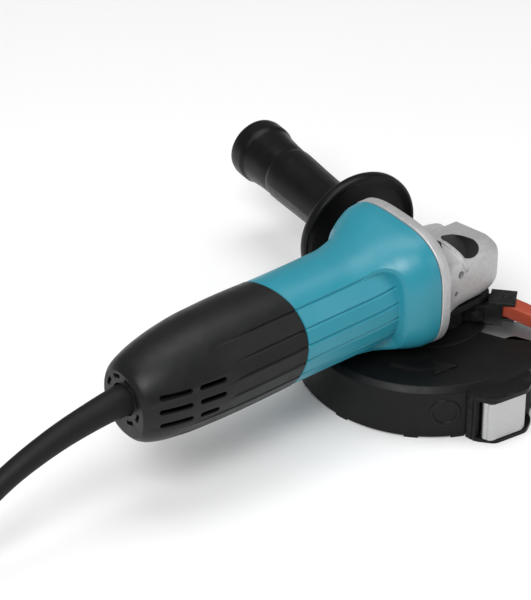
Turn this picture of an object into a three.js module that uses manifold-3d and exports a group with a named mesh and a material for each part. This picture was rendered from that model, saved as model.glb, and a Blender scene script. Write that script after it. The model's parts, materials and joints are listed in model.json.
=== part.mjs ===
// Corded angle grinder, 125 mm wheel class.
// Millimetres. +X runs forward along the body, +Y is the side-handle side, +Z is up.
// While modelling, the body axis is Z = 0 and the spindle axis is X = Y = 0; the whole
// assembly is then lifted so that the spindle's end face is the origin.
import * as THREE from 'three';
import { mergeVertices } from 'three/addons/utils/BufferGeometryUtils.js';
import Module from 'manifold-3d';

const wasm = await Module();
wasm.setup();

const GAP = 0.3;              // clearance left between touching pieces
const OVERCUT = 1;            // how far a cutter reaches past the skin it cuts
const QUARTER = Math.PI / 2;
const TURN = Math.PI * 2;
const RING_STEPS = 32;        // points round a barrel section
const FINE = 28;              // facets round a large turned piece
const MEDIUM = 16;            // facets round a medium turned piece
const COARSE = 8;             // facets round a pin or screw

// ---- driving dimensions -------------------------------------------------------------
const SPINDLE_END = 58;       // spindle end face below the body axis
const SURFACE = -63.2;        // plane the guard's rim stands on
const SEAM = { x: -103.6, bulge: 3.3, crest: Math.PI * 5 / 6, radius: 28.4, bore: 26.4 };
const FLANGE_X = -23.5;       // joint between motor housing and gear housing
const TAIL_X = -193;

// barrel sections: x, half width, top, bottom, squareness
const HOUSING_SKIN = [
  [-90, 28.4, 28.4, -28.4, 2],
  [-64, 28.5, 28.5, -28.4, 2.05],
  [-52, 29.8, 29.8, -29.2, 2.3],
  [-43, 32.8, 32.4, -30, 2.6],
  [-36, 35.8, 34.8, -30.8, 2.9],
  [-29, 37.6, 36.6, -31.3, 3.1],
  [FLANGE_X - GAP, 38, 37, -31.4, 3.1],
];
const HOUSING_BORE = [
  [-64, 26.4, 26.4, -26.4, 2],
  [-43, 26.5, 26.5, -26.4, 2],
  [-35, 28.2, 27.2, -26.4, 2.1],
  [FLANGE_X + OVERCUT, 29.5, 28, -25.5, 2.1],
];
const COVER_SKIN = [
  [-125, 28.9, 28.9, -29, 2],
  [-145, 28.5, 28.4, -29.3, 2],
  [-162, 26.8, 26.4, -28.9, 2.05],
  [-176, 24.2, 23.4, -27.4, 2.1],
  [-186, 21.2, 20, -25.4, 2.15],
  [-191, 18.6, 17.2, -23, 2.2],
  [TAIL_X, 16.6, 15, -20.8, 2.2],
];
const COVER_BORE = [
  [-125, 26.9, 26.9, -27, 2],
  [-145, 26.5, 26.4, -27.3, 2],
  [-162, 24.8, 24.4, -26.9, 2.05],
  [-176, 22.2, 21.4, -25.4, 2.1],
  [-188, 18, 16.6, -22.4, 2.15],
];
const HEAD_SKIN = [
  [-19, 37.2, 35.8, -30.8, 3.1],
  [-17.4, 34.8, 27.6, -27.4, 3.4],
  [-13, 31.6, 20.6, -22.6, 3.8],
  [-8, 29.8, 17.6, -18.5, 4.2],
  [0, 28.8, 16.4, -16, 4.6],
  [12, 27.8, 15.8, -16, 4.8],
  [20, 26.6, 15, -15.2, 5],
  [25, 25, 14, -13, 5],
  [27.2, 23, 12.4, -10.4, 5],
];
const HEAD_FLANGE = [
  [FLANGE_X, 38.2, 37.2, -31.6, 3.1],
  [-17.7, 38.2, 37.2, -31.6, 3.1],
];

// cooling slots in each flank of the rear cover: from x, to x, height
const VENTS = [
  [-185, -168.5, 8], [-165, -150, 8],
  [-186, -169, 0.4], [-165.5, -151, 0.4],
  [-186, -169, -7.6], [-165.5, -155, -7.6],
];
const VENT_HALF = 1.45;
const VENT_REACH = [16, 40];  // how far out from the body axis a slot is cut
const TAIL_SLOT = { count: 8, inner: 11.4, outer: 13.6, half: 0.23, deep: 7 };

const FIELD = { rear: -98, front: -58, outer: 24.2, bore: 14.6, pocket: 20.6, pocketHalf: 0.56 };
const COIL = { inner: 15, outer: 20.2, over: 6.2, from: 0.09, to: 0.52 };
const CORE = { rear: -97, front: -59, radius: 14, slots: 12, slotDepth: 2.2, bore: 5.3 };
const WINDING = { radius: 12.2, length: 7, bore: 5.3 };
const SHAFT = {
  rear: -133.5, front: -14.6, radius: 5, rearJournal: 3.5, rearShoulder: -126, frontJournal: 4,
  nose: 2.2, noseFrom: -23.4, room: 8,
};
const COMMUTATOR = { rear: -119, front: -108, radius: 10 };
const FAN = { rear: -49, front: -39, radius: 23.5, hub: 8, disc: 1.6, blades: 9, bladeThick: 1.4 };
const BAFFLE = { rear: -51, front: -50.2, outer: 26.2, inner: 19 };
const FRONT_BEARING = { rear: -31.4, front: -24.4, outer: 11, bore: 4.3 };
const REAR_BEARING = { rear: -133, front: -127, outer: 9.5, bore: 3.8 };
const SLEEVE = { outer: 11.4 };
const CRADLE = { outer: 13.4, armHalf: 4, reach: 26, armDepth: 1.4, root: -97, rootLong: 5, tilt: Math.PI / 4 };
const BRUSH = { x: -113.5, halfX: 3, halfY: 4.5, from: 10.4, to: 19, holderTo: 25, holderWall: 1.6 };
const SPRING = { from: 19.4, to: 24, wire: 0.4, radius: 2, turns: 3 };
const SWITCH = { rear: -178, front: -152, halfY: 8, halfZ: 10 };
const ROD = { rear: -150, front: -70, inner: 24.5, outer: 25.7, halfZ: 3, legFrom: 9, legLength: 3, travel: 6 };
const SLIDER = {
  rear: -94, front: -73, from: 28.9, to: 31.6, halfZ: 6, stemRear: -84, stemFront: -78, stemHalf: 3,
  ribs: 5, ribPitch: 3.6, ribHalf: 0.7, ribTall: 0.8, ribWide: 5,
};
const SLIDER_SLOT = { from: 22, to: 40, halfZ: 4 };

const MESH = { pinionTeeth: 10, gearTeeth: 34, cone: 22.4, face: 6, addend: 1.05, dedend: 1.6 };
const GEAR = { hub: 9, hubEnd: -21.4, back: -11.4, web: -7.4, bore: 6.3, holeAt: 12.4 };
const SPINDLE = {
  top: 7.6, journal: 4, shoulder: -4, radius: 6, thread: 6.9, threadTop: -37.6, collar: 8.6, collarTall: 3.2,
};
const PINION_ROOM = { rear: -21, front: -7, half: 8.2, bottom: -4 };
const UPPER_BEARING = { bottom: 1, top: 7, outer: 8, bore: 4.3 };
const LOWER_BEARING = { bottom: -31.6, top: -22.4, outer: 14, bore: 6.3 };
const RETAINER = {
  half: 24.6, corner: 7, rear: -19.2, top: -16.3, bottom: -20, neck: 17.4, end: -35.6, lip: 9.5, lipTop: -32.2,
};
const RETAINER_SCREW = { head: 2.6, headTall: 2.2, shank: 1.5 };
const RETAINER_SCREW_SPOTS = [[18.4, 18.4], [-13.6, 20.4], [-13.6, -20.4], [18.4, -18.4]];
const DUCT = { x: 7, inner: 12.5, outer: 22, low: 7, high: 13.5, mouth: 8.8, deep: 12.4, tilt: 46 };
const MOUTH_EDGE = 2.17;      // the mouth's outline is an arc this far each way, closed by a straight rear edge
// open scoop on the left shoulder of the head: y and z of its outline
const SCOOP = { rear: -13, front: 40, outline: [[1, 17], [19, 0.5], [40, 0.5], [40, 40], [1, 40]] };
const CHAMBER = { radius: 23.4, floor: -13, roof: -2 };
const NOTCH = 21.6;           // room for the guard's clamp under the flange
const LOCK_BUTTON = { x: -6.5, y: -10.5, radius: 4, top: 18.6, head: 4, well: 8.6, pin: 2, pinEnd: -1.4 };
const LOCK_SPRING = { wire: 0.4, radius: 2.9, turns: 3 };
const HEAD_SCREW = {
  y: 28, zTop: 25.5, zLow: -21.5, seat: -21.3, head: 3, headTall: 3, shank: 1.6, end: -30, socket: 1.4,
};
// blind holes in the right cheek of the head: x, z, radius, how far out their floor is
const SIDE_HOLES = [[-3.3, 7.7, 2.1, 26.4], [-6.9, -2.1, 1.3, 27.4]];
const INNER_FLANGE = { top: -38, bottom: -43, radius: 17, hub: 10.8, hubEnd: -44.6 };
const LOCK_NUT = { top: -48, bottom: -54, radius: 15, step: 10, stepTall: 2, holes: 4, hole: 1.8, holeAt: 11.6 };

const GUARD = {
  collarIn: 17.8, collarOut: 19.2, collarTop: -20.6, plateTop: -34.5, plateBottom: -36.3,
  radius: 65.4, wall: 1.8, rim: -60, from: -46, to: -215, hub: 34, collarBase: 31.6, baseTall: 1.2,
};
const COVER = {
  top: -32.2, plate: 2, inner: 66, outer: 69.4, edge: 3.2, rim: SURFACE, from: -68, to: -213, hole: 32.2,
};
const BAND = { inner: 19.5, outer: 21.2, top: -21.2, bottom: -31.4, at: -48, slit: 1.4 };
const LUG = { to: 36, raised: 32.8, half: 6.4, bottom: -31.4, cheek: 0.9, cheekTo: 40 };
const LEVER = { at: 41.4, hub: 5, pin: 1.9, top: -20, bottom: -27.6, ear: 1.5, length: 36, width: 8.6, heading: -76 };
const CLAMP_BOLT = { at: 27, z: -26, radius: 2, head: 3.6, half: 9.4 };
const LATCH = {
  at: -98, top: -35, shelf: 2.6, lip: 2.2, thick: 1.2, pin: 1.2, pinOut: 6, pinAlong: -11.4, pinRoof: 1.2,
};
// outlines of the clip's bracket: how far out from the cover's wall, how far along it
const BRACKET_SHELF = [[-2, -19], [4, -17], [11, -9], [11, 10], [5, 17], [-2, 19]];
const BRACKET_BACK = [[-2, -19], [1.6, -18], [1.6, 18], [-2, 19]];
const BRACKET_POST = { out: 3.6, from: -17.6, to: -14.4 };
// outline of the clip's sheet, measured from its pin
const CLIP_SHEET = [[0.9, 1.2], [2.2, 0.6], [4.4, 3.4], [4.4, 20], [3.2, 22], [2.2, 21.4], [3.2, 19.4], [3.2, 4]];
const ARROW = { at: -128, from: 46, to: 58, half: 4, sunk: 0.5, raised: 0.7 };

const HANDLE = {
  x: -7, z: -11, lean: 0.1, boss: 10.8, bossFrom: 22, bossTo: 33, socket: 4.4, stud: 4, studFrom: 24, studTo: 59.8,
};
// grip outline: radius, distance out along the handle's axis
const GRIP = [
  [HANDLE.socket, 33.6], [10, 33.6], [11, 36], [11.5, 46], [12.5, 57.6], [30, 57.6], [32.4, 55.4],
  [34.6, 55.2], [35.4, 57], [35.4, 59.4], [34.2, 61.2], [24, 62.5], [17.5, 64.4], [15.2, 69],
  [14.7, 84], [15.1, 108], [15.6, 127], [14.9, 129.5], [15.6, 140], [16.6, 150], [17.8, 153],
  [17.8, 158], [17.4, 162], [15, 164], [0, 164.4], [0, 60.4], [HANDLE.socket, 60.4], [HANDLE.socket, 33.6],
];
const BOOT = {
  root: 10.3, rootFrom: -187.6, rootTo: -184, neck: 8.4, neckFrom: -190, neckTo: -186, tip: 5.4, taper: 1.6,
};
const CORD = { radius: 4, sides: 8, steps: 26 };
const COIL_OF_CORD = { x: -385, y: 49, inner: 36, outer: 54, tall: 32, soft: 3 };
const PLUG = {
  x: -335, y: 98, radius: 17, rear: 6, length: 44, pin: 2.2, pinLong: 19, pinApart: 9.5, pinRoot: 5.6,
};

// hand-chosen centre line of the boot and of the cord down to the coil
const BOOT_ROUTE = [
  [-189, 0, 0], [-206, 0, -1], [-232, 0, -5.5], [-258, 0, -14], [-282, 0, -27],
];
const CORD_ROUTE = [
  [-282.8, 0, -27.6], [-300, 0, -39.5], [-318, 0, -51], [-334, 0, -57.6],
  [-349.4, 0, -59],
];

// ---- materials ----------------------------------------------------------------------
const LOOKS = {
  teal: ['#36909f', 0.42, 0],
  black: ['#232425', 0.6, 0],
  soft: ['#2b2c2d', 0.75, 0],
  alloy: ['#c3c6c8', 0.42, 0.85],
  steel: ['#b4b7ba', 0.35, 0.95],
  dark: ['#3a3c3f', 0.5, 0.8],
  red: ['#c4553f', 0.45, 0],
  copper: ['#b5693a', 0.4, 0.8],
  iron: ['#5c5f63', 0.55, 0.8],
  carbon: ['#1c1c1e', 0.8, 0.1],
};

function material(look) {
  const [color, roughness, metalness] = LOOKS[look];
  return new THREE.MeshStandardMaterial({ color, roughness, metalness });
}

// ---- solids -------------------------------------------------------------------------
function toSolid(geometry) {
  const bare = geometry.clone();
  bare.deleteAttribute('normal');
  bare.deleteAttribute('uv');
  const merged = mergeVertices(bare, 1e-4);
  const place = merged.getAttribute('position');
  const source = merged.getIndex().array;
  const faces = [];
  let volume = 0;
  const [a, b, c] = [new THREE.Vector3(), new THREE.Vector3(), new THREE.Vector3()];
  for (let i = 0; i < source.length; i += 3) {
    const [p, q, r] = [source[i], source[i + 1], source[i + 2]];
    if (p === q || q === r || r === p) continue;
    faces.push(p, q, r);
    a.fromBufferAttribute(place, p);
    b.fromBufferAttribute(place, q);
    c.fromBufferAttribute(place, r);
    volume += a.dot(b.cross(c));
  }
  if (volume < 0) faces.reverse();
  return new wasm.Manifold(new wasm.Mesh({
    numProp: 3,
    vertProperties: Float32Array.from(place.array),
    triVerts: Uint32Array.from(faces),
  }));
}

function toGeometry(solid) {
  const mesh = solid.getMesh();
  const geometry = new THREE.BufferGeometry();
  geometry.setAttribute('position', new THREE.BufferAttribute(mesh.vertProperties, 3));
  geometry.setIndex(new THREE.BufferAttribute(mesh.triVerts, 1));
  geometry.computeVertexNormals();
  return geometry;
}

function unite(solids) {
  return solids.reduce((whole, piece) => whole.add(piece));
}

// turned solid: profile of [radius, height] pairs, its axis laid along X, Y or Z
function turned(profile, facets, axis = 'z') {
  const geometry = new THREE.LatheGeometry(profile.map(([r, h]) => new THREE.Vector2(r, h)), facets);
  if (axis === 'z') geometry.rotateX(QUARTER);
  if (axis === 'x') geometry.rotateZ(-QUARTER);
  return toSolid(geometry);
}

function rod(radius, from, to, facets, axis = 'z') {
  return turned([[0, from], [radius, from], [radius, to], [0, to]], facets, axis);
}

function tube(inner, outer, from, to, facets, axis = 'z') {
  return turned([[inner, from], [outer, from], [outer, to], [inner, to], [inner, from]], facets, axis);
}

function block(x0, x1, y0, y1, z0, z1) {
  const geometry = new THREE.BoxGeometry(x1 - x0, y1 - y0, z1 - z0);
  geometry.translate((x0 + x1) / 2, (y0 + y1) / 2, (z0 + z1) / 2);
  return toSolid(geometry);
}

// outline of [u, v] points pushed along Z, or along X with u as Y and v as Z
function prism(outline, from, to, axis = 'z') {
  const shape = new THREE.Shape(outline.map(([u, v]) => new THREE.Vector2(u, v)));
  const geometry = new THREE.ExtrudeGeometry(shape, { depth: to - from, bevelEnabled: false });
  geometry.translate(0, 0, from);
  if (axis === 'x') geometry.applyMatrix4(new THREE.Matrix4().set(
    0, 0, 1, 0,
    1, 0, 0, 0,
    0, 1, 0, 0,
    0, 0, 0, 1,
  ));
  return toSolid(geometry);
}

function arc(radius, from, to, steps) {
  return Array.from({ length: steps + 1 }, (_, i) => {
    const angle = from + (to - from) * i / steps;
    return [radius * Math.cos(angle), radius * Math.sin(angle)];
  });
}

function sector(inner, outer, from, to, steps) {
  return [...arc(outer, from, to, steps), ...arc(inner, to, from, steps)];
}

const degrees = (value) => value * Math.PI / 180;

// superellipse ring in a plane across the body axis
function ring([x, half, top, bottom, square], shift = () => 0) {
  const middle = (top + bottom) / 2;
  const tall = (top - bottom) / 2;
  return Array.from({ length: RING_STEPS }, (_, i) => {
    const angle = TURN * i / RING_STEPS;
    const [c, s] = [Math.cos(angle), Math.sin(angle)];
    const y = Math.sign(c) * Math.abs(c) ** (2 / square) * half;
    const z = middle + Math.sign(s) * Math.abs(s) ** (2 / square) * tall;
    return new THREE.Vector3(x + shift(angle), y, z);
  });
}

// closed skin over a row of rings that all have the same number of points
function skin(rings) {
  const count = rings[0].length;
  const points = rings.flat();
  const index = [];
  for (let r = 0; r < rings.length - 1; r += 1) {
    for (let i = 0; i < count; i += 1) {
      const j = (i + 1) % count;
      const [a, b, c, d] = [r * count + i, r * count + j, (r + 1) * count + j, (r + 1) * count + i];
      index.push(a, b, c, a, c, d);
    }
  }
  const first = points.length;
  for (const end of [rings[0], rings.at(-1)]) {
    points.push(end.reduce((sum, p) => sum.add(p), new THREE.Vector3()).divideScalar(count));
  }
  const base = (rings.length - 1) * count;
  for (let i = 0; i < count; i += 1) {
    const j = (i + 1) % count;
    index.push(first, j, i, first + 1, base + i, base + j);
  }
  const geometry = new THREE.BufferGeometry().setFromPoints(points);
  geometry.setIndex(index);
  return toSolid(geometry);
}

const loft = (sections) => skin(sections.map((section) => ring(section)));

// round body swept along a curve, its radius given by how far along it has come
function swept(route, radiusAt, steps, sides) {
  const curve = new THREE.CatmullRomCurve3(route.map((p) => new THREE.Vector3(...p)));
  const across = new THREE.Vector3(0, 1, 0);
  const rings = [];
  for (let k = 0; k <= steps; k += 1) {
    const t = k / steps;
    const centre = curve.getPointAt(t);
    const rise = new THREE.Vector3().crossVectors(curve.getTangentAt(t), across).normalize();
    const radius = radiusAt(t);
    rings.push(Array.from({ length: sides }, (_, i) => {
      const angle = TURN * i / sides;
      return centre.clone()
        .addScaledVector(across, radius * Math.cos(angle))
        .addScaledVector(rise, radius * Math.sin(angle));
    }));
  }
  return skin(rings);
}

// ---- assembly -----------------------------------------------------------------------
const group = new THREE.Group();
group.name = 'angle_grinder';
group.position.z = SPINDLE_END;

function add(name, solid, look, place = {}) {
  const mesh = new THREE.Mesh(toGeometry(solid), material(look));
  mesh.name = name;
  const { position = [0, 0, 0], rotation = [0, 0, 0] } = place;
  mesh.position.set(...position);
  mesh.rotation.set(...rotation);
  group.add(mesh);
}

// the seam between housing and rear cover bows forward on two opposite flanks
const seamShift = (angle) => SEAM.bulge * Math.cos(2 * (angle - SEAM.crest));

function bearingCradle() {
  const { root, rootLong, armHalf, armDepth, reach, tilt } = CRADLE;
  const inside = reach - armDepth;
  const parts = [tube(SLEEVE.outer + GAP, CRADLE.outer, REAR_BEARING.rear - 1, REAR_BEARING.front, MEDIUM, 'x')];
  for (const side of [0, Math.PI]) {
    const arm = block(REAR_BEARING.rear, root + rootLong, -armHalf, armHalf, inside, reach);
    const foot = block(root, root + rootLong, -armHalf, armHalf, inside, reach + 1);
    const web = block(REAR_BEARING.rear, REAR_BEARING.front, -armHalf, armHalf, SLEEVE.outer + 1, reach - 1);
    parts.push(turnAboutX(unite([arm, foot, web]), tilt + side));
  }
  return parts;
}

function motorHousing() {
  const rearRing = ring([SEAM.x + GAP / 2, SEAM.radius, SEAM.radius, -SEAM.radius, 2], seamShift);
  const boreStart = [SEAM.x - 2 * SEAM.bulge, SEAM.bore, SEAM.bore, -SEAM.bore, 2];
  const slot = block(SLIDER.stemRear - 1, SLIDER.stemFront + 1 + ROD.travel,
    SLIDER_SLOT.from, SLIDER_SLOT.to, -SLIDER_SLOT.halfZ, SLIDER_SLOT.halfZ);
  let body = skin([rearRing, ...HOUSING_SKIN.map((section) => ring(section))])
    .subtract(loft([boreStart, ...HOUSING_BORE]));
  body = unite([body, ...bearingCradle()]).subtract(slot);
  for (const [y, z] of headScrewSpots()) {
    body = body.subtract(rodAt(HEAD_SCREW.shank + GAP, HEAD_SCREW.end - GAP, FLANGE_X + 2, y, z));
  }
  add('motor_housing', body, 'teal');
}

function turnAboutX(solid, angle) {
  return solid.rotate([angle * 180 / Math.PI, 0, 0]);
}

function rodAt(radius, from, to, y, z) {
  return rod(radius, from, to, COARSE, 'x').translate([0, y, z]);
}

function headScrewSpots() {
  return [1, -1].flatMap((side) => [
    [side * HEAD_SCREW.y, HEAD_SCREW.zTop],
    [side * HEAD_SCREW.y, HEAD_SCREW.zLow],
  ]);
}

function rearCover() {
  const frontRing = ring([SEAM.x - GAP / 2, SEAM.radius, SEAM.radius, -SEAM.radius, 2], seamShift);
  const boreStart = [SEAM.x + 2 * SEAM.bulge, SEAM.bore, SEAM.bore, -SEAM.bore, 2];
  let body = skin([frontRing, ...COVER_SKIN.map((section) => ring(section))])
    .subtract(loft([boreStart, ...COVER_BORE]))
    .subtract(rod(BOOT.neck + GAP, TAIL_X - 8, TAIL_X + 8, MEDIUM, 'x'));
  for (const side of [1, -1]) {
    const [y0, y1] = VENT_REACH.map((y) => side * y).sort((a, b) => a - b);
    for (const [from, to, z] of VENTS) {
      body = body.subtract(block(from, to, y0, y1, z - VENT_HALF, z + VENT_HALF));
    }
  }
  const { count, inner, outer, half, deep } = TAIL_SLOT;
  for (let i = 0; i < count; i += 1) {
    const slot = prism(sector(inner, outer, -half, half, 4), TAIL_X - 4, TAIL_X + deep, 'x');
    body = body.subtract(turnAboutX(slot, TURN * (i + 0.5) / count));
  }
  add('rear_cover', body, 'black');
}

function fieldWindings() {
  const opening = unite([0, Math.PI].map((side) => prism(
    sector(8, FIELD.pocket, side - FIELD.pocketHalf, side + FIELD.pocketHalf, 8),
    FIELD.rear - 1, FIELD.front + 1, 'x',
  )));
  const core = tube(FIELD.bore, FIELD.outer, FIELD.rear, FIELD.front, FINE, 'x').subtract(opening);
  add('field_core', core, 'iron');
  for (const [name, side] of [['field_coil_upper', 0], ['field_coil_lower', Math.PI]]) {
    const bars = [[COIL.from, COIL.to], [Math.PI - COIL.to, Math.PI - COIL.from]].map(([from, to]) => prism(
      sector(COIL.inner, COIL.outer, side + from, side + to, 4),
      FIELD.rear - COIL.over, FIELD.front + COIL.over, 'x',
    ));
    const ends = [[FIELD.rear - COIL.over, FIELD.rear - GAP], [FIELD.front + GAP, FIELD.front + COIL.over]];
    const bends = ends.map(([from, to]) => prism(
      sector(COIL.inner, COIL.outer, side + COIL.from, side + Math.PI - COIL.from, 14), from, to, 'x',
    ));
    add(name, unite([...bars, ...bends]), 'copper');
  }
}

function armature() {
  const shaft = turned([
    [0, SHAFT.rear], [SHAFT.rearJournal, SHAFT.rear], [SHAFT.rearJournal, SHAFT.rearShoulder],
    [SHAFT.radius, SHAFT.rearShoulder], [SHAFT.radius, FRONT_BEARING.rear - GAP],
    [SHAFT.frontJournal, FRONT_BEARING.rear - GAP], [SHAFT.frontJournal, SHAFT.noseFrom],
    [SHAFT.nose, SHAFT.noseFrom], [SHAFT.nose, SHAFT.front], [0, SHAFT.front],
  ], MEDIUM, 'x');
  add('armature_shaft', shaft, 'steel');
  const outline = [];
  for (let i = 0; i < CORE.slots; i += 1) {
    const middle = TURN * i / CORE.slots;
    for (const [part, depth] of [[-0.36, 0], [0, 0], [0.36, 0], [0.4, CORE.slotDepth], [0.6, CORE.slotDepth]]) {
      const angle = middle + part * TURN / CORE.slots;
      const radius = CORE.radius - depth;
      outline.push([radius * Math.cos(angle), radius * Math.sin(angle)]);
    }
  }
  const core = prism(outline, CORE.rear, CORE.front, 'x')
    .subtract(rod(CORE.bore, CORE.rear - 1, CORE.front + 1, MEDIUM, 'x'));
  add('armature_core', core, 'iron');
  const ends = [
    ['armature_winding_rear', CORE.rear - GAP - WINDING.length, CORE.rear - GAP],
    ['armature_winding_front', CORE.front + GAP, CORE.front + GAP + WINDING.length],
  ];
  for (const [name, from, to] of ends) {
    const soft = 2;
    add(name, turned([
      [WINDING.bore, from], [WINDING.radius - soft, from], [WINDING.radius, from + soft],
      [WINDING.radius, to - soft], [WINDING.radius - soft, to], [WINDING.bore, to], [WINDING.bore, from],
    ], MEDIUM, 'x'), 'copper');
  }
  add('commutator', tube(WINDING.bore, COMMUTATOR.radius, COMMUTATOR.rear, COMMUTATOR.front, MEDIUM, 'x'), 'copper');
  const blades = Array.from({ length: FAN.blades }, (_, i) => turnAboutX(
    block(FAN.rear, FAN.front, -FAN.bladeThick / 2, FAN.bladeThick / 2, FAN.hub - 1, FAN.radius - 1),
    TURN * i / FAN.blades,
  ));
  const fan = unite([
    tube(WINDING.bore, FAN.hub, FAN.rear, FAN.front, MEDIUM, 'x'),
    tube(WINDING.bore, FAN.radius, FAN.front - FAN.disc, FAN.front, FINE, 'x'),
    ...blades,
  ]);
  add('cooling_fan', fan, 'black');
}

// straight-toothed bevel blank with its cone tip at the origin and its back towards -Z
function bevelTeeth(teeth, pitch, phase) {
  const [sine, cosine] = [Math.sin(pitch), Math.cos(pitch)];
  const halves = [[-MESH.dedend - 0.3, 1.26], [MESH.addend, 0.38]];
  const ends = [1, 1 - MESH.face / MESH.cone];
  return Array.from({ length: teeth }, (_, i) => {
    const angle = phase + TURN * i / teeth;
    const rings = ends.map((scale) => {
      const sides = [...halves.map(([h, w]) => [h, w]), ...halves.map(([h, w]) => [h, -w]).reverse()];
      return sides.map(([h, w]) => {
        const radial = scale * (MESH.cone * sine + h * cosine);
        const along = scale * (-MESH.cone * cosine + h * sine);
        return new THREE.Vector3(
          radial * Math.cos(angle) - scale * w * Math.sin(angle),
          radial * Math.sin(angle) + scale * w * Math.cos(angle),
          along,
        );
      });
    });
    return skin(rings);
  });
}

function rootPoint(pitch, scale) {
  return [
    scale * (MESH.cone * Math.sin(pitch) - MESH.dedend * Math.cos(pitch)),
    scale * (-MESH.cone * Math.cos(pitch) - MESH.dedend * Math.sin(pitch)),
  ];
}

function bevelGears() {
  const pinionPitch = Math.atan(MESH.pinionTeeth / MESH.gearTeeth);
  const gearPitch = QUARTER - pinionPitch;
  const inner = 1 - MESH.face / MESH.cone;
  const [gearOut, gearIn] = [rootPoint(gearPitch, 1), rootPoint(gearPitch, inner)];
  const blank = turned([
    [GEAR.bore, GEAR.web], [gearIn[0] - 2, GEAR.web], gearIn, gearOut, [gearOut[0], GEAR.back + 1.4],
    [GEAR.hub, GEAR.back - 1], [GEAR.hub, GEAR.hubEnd], [GEAR.bore, GEAR.hubEnd], [GEAR.bore, GEAR.web],
  ], MESH.gearTeeth);
  let gear = unite([blank, ...bevelTeeth(MESH.gearTeeth, gearPitch, 0)]);
  for (const angle of [0, QUARTER, 2 * QUARTER, 3 * QUARTER]) {
    const hole = rod(LOCK_BUTTON.pin + GAP, GEAR.back - 4, GEAR.web + 4, COARSE);
    gear = gear.subtract(hole.translate([GEAR.holeAt * Math.cos(angle), GEAR.holeAt * Math.sin(angle), 0]));
  }
  add('bevel_gear', gear, 'iron');
  const [pinionOut, pinionIn] = [rootPoint(pinionPitch, 1), rootPoint(pinionPitch, inner)];
  const bore = SHAFT.nose + GAP;
  const hubEnd = -23.2;
  const core = turned([
    [bore, hubEnd], [pinionOut[0], hubEnd], pinionOut, pinionIn, [bore, pinionIn[1]], [bore, hubEnd],
  ], MESH.pinionTeeth * 2);
  const phase = Math.PI / MESH.pinionTeeth;
  const pinion = unite([core, ...bevelTeeth(MESH.pinionTeeth, pinionPitch, phase)]);
  add('bevel_pinion', pinion, 'steel', { rotation: [0, QUARTER, 0] });
}

function bearing(name, { outer, bore }, from, to, axis) {
  const groove = (outer - bore) / 2;
  const middle = (outer + bore) / 2;
  const dish = 0.5;
  add(name, turned([
    [bore, from], [middle - groove / 2, from], [middle - groove / 2, from + dish], [middle + groove / 2, from + dish],
    [middle + groove / 2, from], [outer, from], [outer, to], [middle + groove / 2, to],
    [middle + groove / 2, to - dish], [middle - groove / 2, to - dish], [middle - groove / 2, to],
    [bore, to], [bore, from],
  ], MEDIUM, axis), 'steel');
}

function motorFittings() {
  bearing('armature_front_bearing', FRONT_BEARING, FRONT_BEARING.rear, FRONT_BEARING.front, 'x');
  bearing('armature_rear_bearing', REAR_BEARING, REAR_BEARING.rear, REAR_BEARING.front, 'x');
  add('rear_bearing_sleeve', tube(REAR_BEARING.outer + GAP, SLEEVE.outer,
    REAR_BEARING.rear - 0.6, REAR_BEARING.front + 0.3, MEDIUM, 'x'), 'soft');
  add('fan_baffle', tube(BAFFLE.inner, BAFFLE.outer, BAFFLE.rear, BAFFLE.front, FINE, 'x'), 'black');
  for (const [label, side] of [['upper', 1], ['lower', -1]]) {
    const flip = side > 0 ? 0 : Math.PI;
    const wall = BRUSH.holderWall;
    const outside = block(BRUSH.x - BRUSH.halfX - wall, BRUSH.x + BRUSH.halfX + wall,
      -BRUSH.halfY - wall, BRUSH.halfY + wall, BRUSH.from + 1.2, BRUSH.holderTo);
    const inside = block(BRUSH.x - BRUSH.halfX - GAP, BRUSH.x + BRUSH.halfX + GAP,
      -BRUSH.halfY - GAP, BRUSH.halfY + GAP, BRUSH.from - 4, BRUSH.holderTo - 0.7);
    add(`brush_holder_${label}`, turnAboutX(outside.subtract(inside), flip), 'copper');
    add(`carbon_brush_${label}`, turnAboutX(block(BRUSH.x - BRUSH.halfX, BRUSH.x + BRUSH.halfX,
      -BRUSH.halfY, BRUSH.halfY, BRUSH.from, BRUSH.to), flip), 'carbon');
    add(`brush_spring_${label}`, turnAboutX(springSolid(SPRING).translate([BRUSH.x, 0, 0]), flip), 'steel');
  }
  const { halfY, halfZ } = SWITCH;
  add('switch_body', block(SWITCH.rear, SWITCH.front, -halfY, halfY, -halfZ, halfZ), 'black');
  const bar = block(ROD.rear, ROD.front, ROD.inner, ROD.outer, -ROD.halfZ, ROD.halfZ);
  const leg = block(ROD.rear, ROD.rear + ROD.legLength, ROD.legFrom, ROD.outer, -ROD.halfZ, ROD.halfZ);
  add('switch_rod', unite([bar, leg]), 'black');
  const cap = block(SLIDER.rear, SLIDER.front, SLIDER.from, SLIDER.to, -SLIDER.halfZ, SLIDER.halfZ);
  const stem = block(SLIDER.stemRear, SLIDER.stemFront, ROD.outer + GAP, SLIDER.from + 1,
    -SLIDER.stemHalf, SLIDER.stemHalf);
  const ribs = Array.from({ length: SLIDER.ribs }, (_, i) => {
    const x = (SLIDER.rear + SLIDER.front) / 2 + (i - (SLIDER.ribs - 1) / 2) * SLIDER.ribPitch;
    return block(x - SLIDER.ribHalf, x + SLIDER.ribHalf, SLIDER.from + 1, SLIDER.to + SLIDER.ribTall,
      -SLIDER.ribWide, SLIDER.ribWide);
  });
  add('switch_slider', unite([cap, stem, ...ribs]), 'black');
}

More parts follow.
